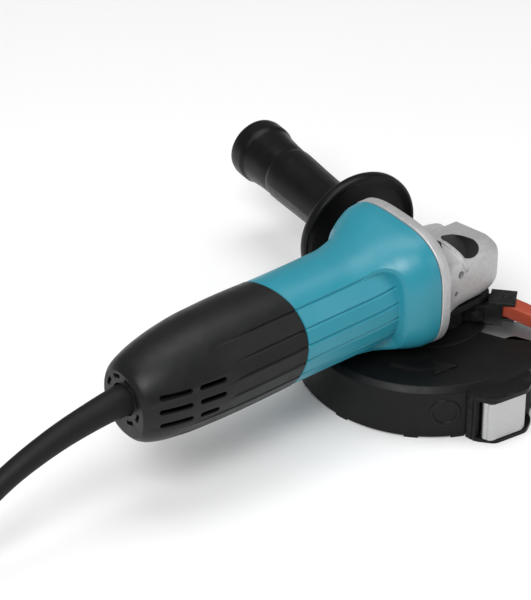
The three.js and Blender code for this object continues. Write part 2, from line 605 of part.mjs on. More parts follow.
function springSolid({ from, to, wire, radius, turns }) {
  const points = [];
  const perTurn = 8;
  const rise = (to - from - 2 * wire) / (turns * perTurn);
  for (let i = 0; i <= turns * perTurn; i += 1) {
    const angle = TURN * i / perTurn;
    points.push(new THREE.Vector3(radius * Math.cos(angle), radius * Math.sin(angle), from + wire + rise * i));
  }
  const shape = new THREE.Shape(arc(wire, 0, TURN, 5).slice(0, -1).map(([u, v]) => new THREE.Vector2(u, v)));
  const path = new THREE.CatmullRomCurve3(points);
  return toSolid(new THREE.ExtrudeGeometry(shape, { extrudePath: path, steps: turns * perTurn }));
}

function headCutters() {
  const room = PINION_ROOM;
  const button = (radius, from) => rod(radius + GAP, from, 40, MEDIUM).translate([LOCK_BUTTON.x, LOCK_BUTTON.y, 0]);
  const cutters = [
    rod(SHAFT.room, FLANGE_X - OVERCUT, -8, MEDIUM, 'x'),
    rod(CHAMBER.radius, CHAMBER.floor, CHAMBER.roof, FINE),
    rod(CHAMBER.radius, -40, CHAMBER.floor + 1, FINE).intersect(block(RETAINER.rear, 40, -40, 40, -41, 0)),
    rod(NOTCH, -40, RETAINER.top + GAP, FINE),
    block(room.rear, room.front, -room.half, room.half, room.bottom, room.half),
    rod(UPPER_BEARING.outer + GAP, -4, UPPER_BEARING.top + GAP, MEDIUM),
    rod(UPPER_BEARING.bore, -4, SPINDLE.top + GAP, MEDIUM),
    prism(roundedSquare(RETAINER.half + GAP, RETAINER.corner, 4), -40, RETAINER.top + GAP)
      .intersect(block(RETAINER.rear - GAP, 40, -40, 40, -41, 0)),
    button(LOCK_BUTTON.pin, -4),
    button(LOCK_BUTTON.radius, LOCK_BUTTON.well),
    handleSpace(rod(HANDLE.socket, HANDLE.bossFrom - 3, HANDLE.bossTo + 2, COARSE, 'y')),
  ];
  for (const side of [1, -1]) {
    const [y0, y1] = [DUCT.inner, DUCT.outer].map((y) => side * y).sort((a, b) => a - b);
    cutters.push(block(FLANGE_X - OVERCUT, DUCT.x, y0, y1, DUCT.low, DUCT.high));
  }
  const mouth = prism(arc(DUCT.mouth, -MOUTH_EDGE, MOUTH_EDGE, 12), DUCT.deep, 42);
  cutters.push(mouth.rotate([DUCT.tilt, 0, 0]).translate([DUCT.x, 0, 0]));
  cutters.push(prism(SCOOP.outline, SCOOP.rear, SCOOP.front, 'x'));
  for (const [y, z] of headScrewSpots()) {
    cutters.push(rodAt(HEAD_SCREW.shank + GAP, FLANGE_X - 2, HEAD_SCREW.seat + 1, y, z));
    cutters.push(rodAt(HEAD_SCREW.head + GAP, HEAD_SCREW.seat, 10, y, z));
  }
  for (const [x, z, radius, floor] of SIDE_HOLES) {
    cutters.push(rod(radius, -40, -floor, COARSE, 'y').translate([x, 0, z]));
  }
  return cutters;
}

function gearHousing() {
  const nose = tube(FRONT_BEARING.outer + GAP, 14, FRONT_BEARING.rear, FLANGE_X + 1, FINE, 'x');
  const boss = handleSpace(rod(HANDLE.boss, HANDLE.bossFrom, HANDLE.bossTo, MEDIUM, 'y'));
  const whole = unite([loft(HEAD_SKIN), loft(HEAD_FLANGE), nose, boss]);
  const body = headCutters().reduce((solid, cutter) => solid.subtract(cutter), whole);
  add('gear_housing', body, 'alloy');
  headScrewSpots().forEach(([y, z], i) => {
    const screw = unite([
      rodAt(HEAD_SCREW.head, HEAD_SCREW.seat + GAP, HEAD_SCREW.seat + GAP + HEAD_SCREW.headTall, y, z),
      rodAt(HEAD_SCREW.shank, HEAD_SCREW.end, HEAD_SCREW.seat + 1, y, z),
    ]).subtract(rodAt(HEAD_SCREW.socket, HEAD_SCREW.seat + HEAD_SCREW.socket, 0, y, z));
    add(`gear_housing_screw_${i + 1}`, screw, 'steel');
  });
}

function handleSpace(solid) {
  return solid.rotate([0, 0, -HANDLE.lean * 180 / Math.PI]).translate([HANDLE.x, 0, HANDLE.z]);
}

function roundedSquare(half, corner, steps) {
  const spots = [[1, 1, 0], [-1, 1, 1], [-1, -1, 2], [1, -1, 3]];
  return spots.flatMap(([sx, sy, turn]) => arc(corner, turn * QUARTER, (turn + 1) * QUARTER, steps)
    .map(([u, v]) => [u + sx * (half - corner), v + sy * (half - corner)]));
}

function spindleGroup() {
  let retainer = prism(roundedSquare(RETAINER.half, RETAINER.corner, 4), RETAINER.bottom, RETAINER.top)
    .subtract(block(-40, RETAINER.rear, -40, 40, -40, 0))
    .add(rod(RETAINER.neck, RETAINER.end, RETAINER.bottom + 1, FINE))
    .subtract(rod(LOWER_BEARING.outer + GAP, RETAINER.lipTop, RETAINER.top + OVERCUT, FINE))
    .subtract(rod(RETAINER.lip, RETAINER.end - OVERCUT, RETAINER.lipTop + OVERCUT, MEDIUM));
  for (const [x, y] of RETAINER_SCREW_SPOTS) {
    retainer = retainer.subtract(unite([
      rod(RETAINER_SCREW.head + GAP, RETAINER.bottom - 1, RETAINER.bottom + RETAINER_SCREW.headTall + 0.4, COARSE),
      rod(RETAINER_SCREW.shank + GAP, RETAINER.bottom - 1, RETAINER.top + 1, COARSE),
    ]).translate([x, y, 0]));
  }
  add('bearing_retainer', retainer, 'dark');
  RETAINER_SCREW_SPOTS.forEach(([x, y], i) => {
    const head = RETAINER.bottom + 0.1;
    const screw = unite([
      rod(RETAINER_SCREW.head, head, head + RETAINER_SCREW.headTall, COARSE),
      rod(RETAINER_SCREW.shank, head, RETAINER.top + 0.1, COARSE),
    ]);
    add(`retainer_screw_${i + 1}`, screw.translate([x, y, 0]), 'steel');
  });
  bearing('spindle_upper_bearing', UPPER_BEARING, UPPER_BEARING.bottom, UPPER_BEARING.top, 'z');
  bearing('spindle_lower_bearing', LOWER_BEARING, LOWER_BEARING.bottom, LOWER_BEARING.top, 'z');
  const { top, journal, shoulder, radius, thread, threadTop, collar } = SPINDLE;
  const collarTop = threadTop + SPINDLE.collarTall;
  add('spindle', turned([
    [0, -SPINDLE_END], [thread - 1, -SPINDLE_END], [thread, -SPINDLE_END + 1], [thread, threadTop],
    [collar, threadTop], [collar, collarTop], [radius, collarTop], [radius, shoulder],
    [journal, shoulder], [journal, top], [0, top],
  ], MEDIUM), 'steel');
  add('inner_flange', turned([
    [thread + GAP, INNER_FLANGE.top], [12, INNER_FLANGE.top], [INNER_FLANGE.radius, INNER_FLANGE.bottom + 2],
    [INNER_FLANGE.radius, INNER_FLANGE.bottom], [INNER_FLANGE.hub, INNER_FLANGE.bottom],
    [INNER_FLANGE.hub, INNER_FLANGE.hubEnd], [thread + GAP, INNER_FLANGE.hubEnd], [thread + GAP, INNER_FLANGE.top],
  ], FINE), 'steel');
  let nut = turned([
    [thread + GAP, LOCK_NUT.bottom], [LOCK_NUT.radius, LOCK_NUT.bottom],
    [LOCK_NUT.radius, LOCK_NUT.top - LOCK_NUT.stepTall],
    [LOCK_NUT.step, LOCK_NUT.top - LOCK_NUT.stepTall], [LOCK_NUT.step, LOCK_NUT.top],
    [thread + GAP, LOCK_NUT.top], [thread + GAP, LOCK_NUT.bottom],
  ], FINE);
  for (let i = 0; i < LOCK_NUT.holes; i += 1) {
    const angle = TURN * i / LOCK_NUT.holes;
    nut = nut.subtract(rod(LOCK_NUT.hole, LOCK_NUT.bottom - 1, LOCK_NUT.top + 1, COARSE)
      .translate([LOCK_NUT.holeAt * Math.cos(angle), LOCK_NUT.holeAt * Math.sin(angle), 0]));
  }
  add('lock_nut', nut, 'dark');
  const button = unite([
    rod(LOCK_BUTTON.radius, LOCK_BUTTON.top - LOCK_BUTTON.head, LOCK_BUTTON.top, MEDIUM),
    rod(LOCK_BUTTON.pin, LOCK_BUTTON.pinEnd, LOCK_BUTTON.top - 1, COARSE),
  ]).translate([LOCK_BUTTON.x, LOCK_BUTTON.y, 0]);
  add('spindle_lock_button', button, 'black');
  const spring = {
    ...LOCK_SPRING, from: LOCK_BUTTON.well + GAP, to: LOCK_BUTTON.top - LOCK_BUTTON.head - GAP,
  };
  add('spindle_lock_spring', springSolid(spring).translate([LOCK_BUTTON.x, LOCK_BUTTON.y, 0]), 'steel');
}

function bandDirection(angle) {
  return [Math.cos(degrees(angle)), Math.sin(degrees(angle))];
}

function wheelGuard() {
  const [from, to] = [degrees(GUARD.from), degrees(GUARD.to)];
  const steps = 24;
  const plate = prism(sector(GUARD.hub - 4, GUARD.radius, from, to, steps), GUARD.plateBottom, GUARD.plateTop);
  const hub = tube(GUARD.collarIn, GUARD.hub, GUARD.plateBottom, GUARD.plateTop, FINE);
  const wall = prism(sector(GUARD.radius - GUARD.wall, GUARD.radius, from, to, steps), GUARD.rim, GUARD.plateTop);
  add('wheel_guard', unite([plate, hub, wall]), 'steel');
  const foot = GUARD.plateTop + GAP;
  add('guard_collar', turned([
    [GUARD.collarIn, foot], [GUARD.collarBase, foot], [GUARD.collarBase, foot + GUARD.baseTall],
    [GUARD.collarOut, foot + GUARD.baseTall], [GUARD.collarOut, GUARD.collarTop],
    [GUARD.collarIn, GUARD.collarTop], [GUARD.collarIn, foot],
  ], FINE), 'black');

  const around = degrees(BAND.at);
  let band = tube(BAND.inner, BAND.outer, BAND.bottom, BAND.top, FINE)
    .add(block(BAND.inner + 0.6, LUG.to, -LUG.half, LUG.half, LUG.bottom, BAND.top));
  const [earTop, earLow] = [LEVER.top + GAP + LEVER.ear, LEVER.bottom - GAP - LEVER.ear];
  const ears = unite([
    block(LUG.raised, LUG.to, -LUG.half, LUG.half, LUG.bottom, earTop),
    block(LUG.raised, LEVER.at + LEVER.hub, -LUG.half, LUG.half, earTop - LEVER.ear, earTop),
    block(LUG.raised, LEVER.at + LEVER.hub, -LUG.half, LUG.half, earLow, earLow + LEVER.ear),
    block(LUG.raised, LUG.cheekTo, -LUG.half, LUG.cheek - LUG.half, LUG.bottom, earTop),
  ]);
  band = band.add(ears)
    .subtract(block(BAND.inner - 2, LUG.raised - 1, -BAND.slit, BAND.slit, -40, -20))
    .subtract(rod(CLAMP_BOLT.radius + GAP, -12, 12, COARSE, 'y').translate([CLAMP_BOLT.at, 0, CLAMP_BOLT.z]))
    .subtract(rod(LEVER.pin + GAP, -40, -10, COARSE).translate([LEVER.at, 0, 0]));
  const turn = { rotation: [0, 0, around] };
  add('guard_clamp_band', band, 'black', turn);
  const bolt = unite([
    rod(CLAMP_BOLT.radius, -CLAMP_BOLT.half + 1, CLAMP_BOLT.half, COARSE, 'y'),
    rod(CLAMP_BOLT.head, -CLAMP_BOLT.half, -LUG.half - GAP, 6, 'y'),
  ]).translate([CLAMP_BOLT.at, 0, CLAMP_BOLT.z]);
  add('clamp_bolt', bolt, 'steel', turn);
  const pin = rod(LEVER.pin, LEVER.bottom - 1.6, LEVER.top + 1.8, COARSE);
  add('lever_pin', pin.translate([LEVER.at, 0, 0]), 'steel', turn);

  const [px, py] = bandDirection(BAND.at).map((v) => v * LEVER.at);
  const half = LEVER.width / 2;
  const arm = block(0, LEVER.length, -half, half, LEVER.bottom, LEVER.top)
    .subtract(rod(9, -60, 0, MEDIUM).translate([LEVER.length - 1, half + 7, 0]));
  const lever = unite([rod(LEVER.hub, LEVER.bottom, LEVER.top, MEDIUM), arm])
    .subtract(rod(LEVER.pin + GAP, -40, -10, COARSE));
  add('clamp_lever', lever, 'red', { position: [px, py, 0], rotation: [0, 0, degrees(LEVER.heading)] });
}

function clipBracket() {
  const { outer, rim } = COVER;
  const placed = (outline) => outline.map(([out, along]) => [outer + out, along]);
  const { out, from, to } = BRACKET_POST;
  const socket = rod(LATCH.pin + GAP, rim - OVERCUT, LATCH.top - LATCH.pinRoof + GAP, COARSE);
  return unite([
    prism(placed(BRACKET_SHELF), LATCH.top - LATCH.shelf, LATCH.top),
    prism(placed(BRACKET_SHELF), rim, rim + LATCH.lip),
    prism(placed(BRACKET_BACK), rim, LATCH.top),
    block(outer - 1, outer + out, from, to, rim, LATCH.top),
  ]).subtract(socket.translate([outer + LATCH.pinOut, LATCH.pinAlong, 0]));
}

function guardCover() {
  const { top, plate, inner, outer, edge, rim, hole } = COVER;
  const span = prism(sector(hole - 4, outer + 20, degrees(COVER.from), degrees(COVER.to), 24), rim - 1, top + 1);
  const shell = turned([
    [hole, top - plate], [inner, top - plate], [inner, rim], [outer, rim], [outer, top - edge],
    [outer - edge, top], [hole, top], [hole, top - plate],
  ], 2 * RING_STEPS).intersect(span);
  const bracketAt = degrees(LATCH.at);
  const arrow = prism([[ARROW.from, -ARROW.half], [ARROW.from, ARROW.half], [ARROW.to, 0]],
    top - ARROW.sunk, top + ARROW.raised);
  add('guard_cover', unite([
    shell, turnAboutZ(clipBracket(), bracketAt), turnAboutZ(arrow, degrees(ARROW.at)),
  ]), 'black');

  const [c, s] = [Math.cos(bracketAt), Math.sin(bracketAt)];
  const [out, along] = [outer + LATCH.pinOut, LATCH.pinAlong];
  const pinPlace = [out * c - along * s, out * s + along * c];
  const zTop = LATCH.top - LATCH.shelf - GAP;
  const zLow = rim + LATCH.lip + GAP;
  const knuckle = tube(LATCH.pin + GAP, LATCH.pin + GAP + LATCH.thick, zLow, zTop, COARSE);
  const sheet = prism(CLIP_SHEET, zLow, zTop);
  add('cover_clip', unite([knuckle, sheet]), 'steel', { position: [...pinPlace, 0], rotation: [0, 0, bracketAt] });
  const pin = rod(LATCH.pin, rim + 2 * GAP, LATCH.top - LATCH.pinRoof, COARSE);
  add('clip_pin', pin.translate([...pinPlace, 0]), 'steel');
}

function turnAboutZ(solid, angle) {
  return solid.rotate([0, 0, angle * 180 / Math.PI]);
}

function sideHandle() {
  const grip = turned(GRIP, FINE, 'y');
  const stud = rod(HANDLE.stud, HANDLE.studFrom, HANDLE.studTo, COARSE, 'y');
  const place = { position: [HANDLE.x, 0, HANDLE.z], rotation: [0, 0, -HANDLE.lean] };
  add('side_handle_grip', grip, 'black', place);
  add('side_handle_stud', stud, 'steel', place);
}

function strainRelief() {
  const radiusAt = (t) => BOOT.tip + (BOOT.neck - BOOT.tip) * (1 - t) ** BOOT.taper;
  add('strain_relief', unite([
    swept(BOOT_ROUTE, radiusAt, 14, MEDIUM),
    rod(BOOT.root, BOOT.rootFrom, BOOT.rootTo, MEDIUM, 'x'),
    rod(BOOT.neck, BOOT.neckFrom, BOOT.neckTo, MEDIUM, 'x'),
  ]), 'soft');
}

function powerCord() {
  const outline = new THREE.Shape(arc(CORD.radius, 0, TURN, CORD.sides).slice(0, -1)
    .map(([u, v]) => new THREE.Vector2(u, v)));
  const route = new THREE.CatmullRomCurve3(CORD_ROUTE.map((p) => new THREE.Vector3(...p)));
  const cord = toSolid(new THREE.ExtrudeGeometry(outline, { extrudePath: route, steps: CORD.steps }));
  add('power_cord', cord, 'soft');
  const { x, y, inner, outer, tall, soft } = COIL_OF_CORD;
  add('cord_coil', turned([
    [inner, SURFACE + soft], [inner + soft, SURFACE], [outer - soft, SURFACE], [outer, SURFACE + soft],
    [outer, SURFACE + tall - soft], [outer - soft, SURFACE + tall], [inner + soft, SURFACE + tall],
    [inner, SURFACE + tall - soft], [inner, SURFACE + soft],
  ], FINE).translate([x, y, 0]), 'soft');
}

function plug() {
  const { radius, rear, length, pinApart } = PLUG;
  const body = turned([
    [0, 0], [rear, 0], [rear + 1, length * 0.27], [radius - 4, length * 0.5], [radius, length * 0.68],
    [radius, length], [0, length],
  ], MEDIUM, 'x');
  const sides = [pinApart, -pinApart];
  const holes = sides.map((y) => rodAt(PLUG.pin + GAP, length - PLUG.pinRoot - GAP, length + 1, y, 0));
  const place = { position: [PLUG.x, PLUG.y, SURFACE + radius] };
  add('plug_body', holes.reduce((solid, hole) => solid.subtract(hole), body), 'black', place);
  sides.forEach((y, i) => {
    const pin = rodAt(PLUG.pin, length - PLUG.pinRoot, length + PLUG.pinLong, y, 0);
    add(`plug_pin_${i + 1}`, pin, 'steel', place);
  });
}

motorHousing();
rearCover();
gearHousing();
spindleGroup();
bevelGears();
armature();
fieldWindings();
motorFittings();
wheelGuard();
guardCover();
sideHandle();
strainRelief();
powerCord();
plug();

export default group;
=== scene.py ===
"""Looks of a corded angle grinder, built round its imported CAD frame.

Shapes are given in millimetres in the body frame: +X forward along the barrel, +Y the side-handle
side, Z = 0 on the barrel's axis and X = Y = 0 on the spindle's axis. at() turns that into the shared
frame in metres. A pair or a four of numbers called a run, a cut or a band holds stations along an axis.
"""

import json
import math

import bmesh
import bpy
from mathutils import Matrix, Vector


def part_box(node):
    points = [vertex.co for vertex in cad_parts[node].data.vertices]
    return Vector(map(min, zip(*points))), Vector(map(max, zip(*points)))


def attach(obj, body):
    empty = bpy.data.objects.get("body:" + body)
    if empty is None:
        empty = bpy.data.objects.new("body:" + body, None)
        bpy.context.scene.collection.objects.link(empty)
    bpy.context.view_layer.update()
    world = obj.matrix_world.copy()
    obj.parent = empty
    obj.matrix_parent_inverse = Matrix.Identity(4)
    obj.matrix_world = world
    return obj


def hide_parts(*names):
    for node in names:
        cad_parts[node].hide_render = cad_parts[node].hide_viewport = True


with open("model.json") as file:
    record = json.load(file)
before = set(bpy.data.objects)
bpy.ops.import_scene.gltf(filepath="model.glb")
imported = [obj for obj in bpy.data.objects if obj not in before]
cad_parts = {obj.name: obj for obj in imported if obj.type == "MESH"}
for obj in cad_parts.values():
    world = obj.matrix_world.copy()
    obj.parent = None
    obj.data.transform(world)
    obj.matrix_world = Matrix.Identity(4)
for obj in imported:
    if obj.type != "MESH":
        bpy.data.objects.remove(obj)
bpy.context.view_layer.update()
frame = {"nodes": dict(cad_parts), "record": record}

MM = 0.001
AXIS_HEIGHT = 0.058           # barrel axis above the spindle's end face
FLOOR_Z = -0.0052             # plane the guard's rim stands on
TURN = 2 * math.pi

# ---- driving dimensions, millimetres in the body frame ------------------------------------
BARREL_STEPS = 720            # points round the grooved barrel
BORE_STEPS = 64
BORE_STATION_STEP = 4
HEAD_STEPS = 256
ROUND_STEPS = 96
SMALL_STEPS = 24
EDGE_ANGLE = math.radians(40) # corners sharper than this are softened
SEAM_X = -103.6               # the housing meets the rear cover
SEAM_BULGE = 3.3
SEAM_CREST = math.radians(150)
SEAM_FADE = (-122, -84)       # the stations where the seam's bow has died out
SEAM_GAP = 0.15               # each shell stops this far short of the seam
FLANGE_X = -23.5              # the rear face of the head's flange
FLANGE_GAP = 0.3
TAIL_X = -193
RIM = 0.5                     # width and depth of a shell's rounded rim
RIM_STEP = 0.17

# barrel sections: x, half width, top, bottom, squareness
HOUSING_SKIN = [
    (-108, 28.4, 28.4, -28.4, 2), (-90, 28.4, 28.4, -28.4, 2), (-64, 28.5, 28.5, -28.4, 2.05),
    (-52, 29.8, 29.8, -29.2, 2.3), (-43, 32.8, 32.4, -30, 2.6), (-36, 35.8, 34.8, -30.8, 2.9),
    (-29, 37.6, 36.6, -31.3, 3.1), (-23.8, 38, 37, -31.4, 3.1),
]
HOUSING_BORE = [
    (-112, 26.4, 26.4, -26.4, 2), (-64, 26.4, 26.4, -26.4, 2), (-43, 26.5, 26.5, -26.4, 2),
    (-35, 28.2, 27.2, -26.4, 2.1), (-22, 29.5, 28, -25.5, 2.1),
]
COVER_SKIN = [
    (TAIL_X, 16.6, 15, -20.8, 2.2), (-191, 18.6, 17.2, -23, 2.2), (-186, 21.2, 20, -25.4, 2.15),
    (-176, 24.2, 23.4, -27.4, 2.1), (-162, 26.8, 26.4, -28.9, 2.05), (-145, 28.5, 28.4, -29.3, 2),
    (-125, 28.9, 28.9, -29, 2), (-99, 28.5, 28.5, -28.5, 2),
]
COVER_BORE = [
    (-188, 18, 16.6, -22.4, 2.15), (-176, 22.2, 21.4, -25.4, 2.1), (-162, 24.8, 24.4, -26.9, 2.05),
    (-145, 26.5, 26.4, -27.3, 2), (-125, 26.9, 26.9, -27, 2), (-92, 26.6, 26.6, -26.7, 2),
]
HEAD_SKIN = [
    (-19, 37.2, 35.8, -30.8, 3.1), (-17.4, 34.8, 27.6, -27.4, 3.4), (-13, 31.6, 20.6, -22.6, 3.8),
    (-8, 29.8, 17.6, -18.5, 4.2), (0, 28.8, 16.4, -16, 4.6), (12, 27.8, 15.8, -16, 4.8),
    (20, 26.6, 15, -15.2, 5), (25, 25, 14, -13, 5), (27.2, 23, 12.4, -10.4, 5),
]
HEAD_RUNS = [(-19, -6, 0.6), (-6, 4, 0.25), (4, 24, 1.5), (24, 27.2, 0.4)]   # from, to, step
HEAD_FLANGE = [
    (FLANGE_X, 37.8, 36.8, -31.2, 3.1), (FLANGE_X + 0.5, 38.2, 37.2, -31.6, 3.1),
    (-18.5, 38.2, 37.2, -31.6, 3.1), (-17.9, 37.9, 36.9, -31.3, 3.1), (-17.7, 37.4, 36.4, -30.8, 3.1),
]

# the grip panel on each flank: flutes at these heights round the barrel, in degrees above the flank
PANEL_TOP = 52
PANEL_BOTTOM = -58
FLUTES = (29.5, 12, -5.5, -23, -40.5)
PANEL_STRAIGHT = -64
PANEL_FRONT = -42.5
PANEL_CORNER = 10
PANEL_RADIUS = 28.5
PANEL_EDGE = 1.2              # the panel sinks to its full depth over this width
PANEL_SINK = 0.25
PANEL_FINE = (-54, -41.2)     # the stations lie closest here, round the panel's front
FLUTE_DEPTH = 1.0
FLUTE_HALF = 0.9
BORDER_HALF = 0.8
SWITCH_SLOT = ((-85, 22, -4), (-71, 40, 4))

# the rear cover: its flutes run further to the rear low on the flank, and stop at the vents' field
FLUTE_END_HIGH, FLUTE_END_LOW = -156, -184
FLUTE_HIGH, FLUTE_SPAN = 38, 70
FLUTE_FADE = 30
COVER_FLUTES_AT = -90         # the cover copies the panel's section at this station
VENT_BAND = (-193, -187, -150, -143)
VENT_FIELD_HALF = (15, 24)
VENT_FIELD_SINK = 0.6

# vents on each flank: from, to, height
VENTS = [
    (-185, -168.5, 8), (-165, -150, 8), (-186, -169, 0.4), (-165.5, -151, 0.4), (-186, -169, -7.6),
    (-165.5, -155, -7.6),
]
VENT_HALF = 1.45
VENT_CUT = (16, 40)
TAIL_SLOTS = 8
TAIL_SLOT_INNER = 11.4
TAIL_SLOT_OUTER = 13.6
TAIL_SLOT_HALF = 0.23
TAIL_SLOT_CUT = (TAIL_X - 4, TAIL_X + 7)
BOOT_HOLE = 8.7
BOOT_HOLE_CUT = (TAIL_X - 8, TAIL_X + 8)

# the head's round rooms: name, radius, from, to
BARREL_ROOMS = [("front_bearing_seat", 11.3, -32, -24), ("shaft_room", 8, -25, -8)]
SPINDLE_ROOMS = [("gear_room", 23.4, -13, -2), ("clamp_room", 21.6, -40, -16), ("upper_seat", 8.3, -4, 7.3)]
BUTTON_ROOMS = [("button_hole", 2.3, -4, 40), ("button_well", 4.3, 8.6, 40)]
PINION_ROOM = ((-21, -8.2, -4), (-7, 8.2, 8.2))
LOCK_BUTTON = (-6.5, -10.5)
SNOUT_RADIUS = 14
SNOUT_REAR = -31.4
BOSS_RADIUS = 10.8
BOSS_RUN = (22, 33)
STUD_RADIUS = 4.4
STUD_CUT = (19, 35)

# the head's corner screws: y, z
HEAD_SCREW_SPOTS = [(28, 25.5), (28, -21.5), (-28, 25.5), (-28, -21.5)]
SCREW_RECESS = 3.3            # radii
SCREW_HOLE = 1.9
SCREW_RECESS_CUT = (-21.3, 10)
SCREW_HOLE_CUT = (-26, -19)

# small blind holes in the head's right side: x, z, radius, depth of the floor from the middle
SIDE_HOLES = [(-3.3, 7.7, 2.1, 26.4), (-6.9, -2.1, 1.3, 27.4)]
PAST_SIDE = 40

# air duct: the passage through the flange, then the mouth it opens into
DUCT_RUN, DUCT_SIDES, DUCT_HEIGHTS = (-24.5, 7), (12.5, 22), (7, 13.5)
MOUTH_X = 7
MOUTH_TILT = 46
MOUTH_RADIUS = 8.8
MOUTH_EDGE = 2.17
MOUTH_CORNER = 0.8
MOUTH_DEEP = 12.4
MOUTH_PAST_SKIN = 42
CLOSE = 0.1                   # a face this near the mouth's walls or floor belongs to the mouth
LIP_RISE = 1.3
LIP_BAND = (-1.2, -0.6, 1.3, 1.9)
LIP_ARC = (14, 20, 58, 66)

# the open shoulder on the head's left, as y and z, and the nose's sloping ridge
SCOOP = [(1, 17), (19, 0.5), (40, 0.5), (40, 40), (1, 40)]
SCOOP_CORNER = 1.5
SCOOP_RUN = (-13, 40)
NOSE_OUTLINE = [(-60, -60), (60, -60), (60, 60), (-60, 60)]   # wider than the head
NOSE_UP = (0.2, 0.173, 1)     # the ridge's upward direction
NOSE_SPOT = (27, 1, 10)       # a point on it
NOSE_DEPTH = 30
NOSE_ONLY = ((-9, -40, 0), (40, 40, 60))

# guard, cover and clip: angles and radii about the spindle
GUARD_SWEEP = (math.radians(-46), math.radians(-215))
GUARD_BORE = 17.8
GUARD_HUB = 34
GUARD_UNDER, GUARD_TOP = -36.3, -34.5
GUARD_RIM = -60
COVER_SWEEP = (math.radians(-68), math.radians(-213))
COVER_STEPS = 120
COVER_TOP = -32.2
COVER_RIM = -62.4
COVER_WALL = 69.4
FEET = (-117, -137, -170, -200)
FOOT_HALF = 3
FOOT_BOTTOM = -63.2
LATCH_TURN = math.radians(-98)
SHELF_RUN = (-37.6, -35)
POCKET_LIP_RUN = (-63.2, -61)
POCKET_BACK_RUN = (-63.2, -35)
POST_RUN = (-63, -35.2)
PIN_HOLE_CUT = (-64, -35.9)
CLIP_PIN = (75.4, -11.4, 0)
CLIP_RUN = (-60.7, -37.9)
CLIP_CUT = (-62, -36)
CLIP_BORE = 1.5
KNUCKLE = 2.7
ARROW_ANGLES = (-152, -127, -113)
ARROW_SHAFT = (50.2, 53.2)
ARROW_HEAD = (57.4, 51.4, 45.6)
ARROW_RUN = (-32.6, -31.2)
BADGE_STEPS = (48, 8)         # points round the ring, and round its section
BADGE_TURN = math.radians(-122.8)
BADGE_HEIGHT = -47
BADGE_REACH = 7.2
BADGE_WIRE = (1.2, 0.7)

# clamp lever
LEVER_PIVOT_REACH = 41.4
LEVER_PIVOT_TURN = math.radians(-48)
LEVER_TURN = math.radians(-76)
LEVER_RUN = (-27.6, -20)
LEVER_CUT = (-40, -10)
LEVER_EDGE = 0.0009           # metres
LEVER_BORE = 2.2

# side handle: profile as radius and distance along its axis
HANDLE_FOOT = (-7, 0, -11)
HANDLE_LEAN = -0.1            # radians
HANDLE_STEPS = 160
HANDLE_SIDES = 8
HANDLE_BAND = (64, 76, 120, 127)
HANDLE_RADIUS = 14
HANDLE_FLATNESS = 0.45
HANDLE_BORE_CUT = (20, 60.4)
HANDLE_PROFILE = [
    (4.4, 33.6), (9.4, 33.6), (10, 34.2), (10.9, 36), (11.3, 42), (11.5, 46), (12.1, 54), (13.4, 56.8),
    (15.6, 57.6), (29, 57.6), (31, 57), (32.4, 55.6), (33.6, 55.2), (34.7, 55.5), (35.3, 56.6),
    (35.4, 58.2), (35.3, 59.8), (34.6, 61), (33.4, 61.3), (24, 62.4), (19.6, 63.2), (17.6, 64.6),
    (16.2, 66.8), (15.3, 70), (14.8, 76), (14.7, 84), (14.8, 96), (15.1, 108), (15.5, 119), (15.6, 126.4),
    (15.4, 127.8), (14.9, 128.8), (14.9, 130), (15.2, 131.4), (15.5, 138), (16, 144), (16.5, 149),
    (16.6, 150.4), (17.2, 151.4), (17.7, 152.6), (17.8, 154), (17.8, 158), (17.8, 160.4), (17.3, 162.4),
    (15.8, 163.6), (13, 164), (8, 164.2), (0, 164.4),
]

# the cord's boot
BOOT_ROUTE = [(-189, 0, 0), (-206, 0, -1), (-232, 0, -5.5), (-258, 0, -14), (-282, 0, -27)]
BOOT_STEPS = 48
BOOT_TIP = 5.4
BOOT_SWELL = 3
BOOT_TAPER = 1.6
BOOT_LIP = 0.5
BOOT_LIP_FROM = 0.985
BOOT_ROOT = 10.3
BOOT_ROOT_RUN = (-187.6, -184)
BOOT_NECK = 8.4
BOOT_NECK_RUN = (-190, -186)

# cord: the uncoiled route in metres in the shared frame, then the coil and the run to the plug
CORD_DIAMETER = 0.008
CORD_ROUTE = [
    (-0.2828, 0, 0.0304), (-0.2910, 0, 0.0245), (-0.3000, 0, 0.0185), (-0.3090, 0, 0.0126),
    (-0.3180, 0, 0.0070), (-0.3260, 0, 0.0029), (-0.3340, 0, 0.0004), (-0.3420, 0, -0.0008),
    (-0.3494, 0, -0.0010), (-0.3610, 0, -0.0012), (-0.3730, 0, -0.0012),
]
COIL_CENTRE = (-0.385, 0.049)
COIL_RADII = (0.049, 0.041)
COIL_TURNS = 7.5
COIL_PERIOD = math.radians(333)
COIL_SHIFT = math.radians(90)
COIL_POINTS_PER_TURN = 24
PLUG_RUN_STEPS = 8
PLUG_PIN_SPREAD = 9.5
PLUG_PIN_ROOM = 2.5
PLUG_PIN_CUT = (38, 46)

# camera: turn and rise in degrees, then metres
CAMERA_TURN = -38.3
CAMERA_RISE = 35.0
CAMERA_DISTANCE = 1.210
CAMERA_TARGET = (-0.070, 0, AXIS_HEIGHT)
CAMERA_LENS = 143.2
CAMERA_SHIFT = (-0.0975, 0.0142)

# area lights: name, place, size, power
LIGHTS_AIM = (-0.06, 0, 0.03)
LIGHTS = [
    ("key", (-1.1, -0.7, 1.5), (0.9, 0.9), 29),
    ("top", (0.1, 0.3, 1.7), (1.4, 1.0), 14),
    ("side", (0.9, -1.2, 0.8), (0.7, 0.9), 4),
]
SKY_STRENGTH = 0.2
FLOOR_HALF = 4.0


def at(x, y, z):
    """A body-frame point in millimetres as a point in the shared frame in metres."""
    return Vector((x * MM, y * MM, z * MM + AXIS_HEIGHT))


def mix(a, b, t):
    return a + (b - a) * t


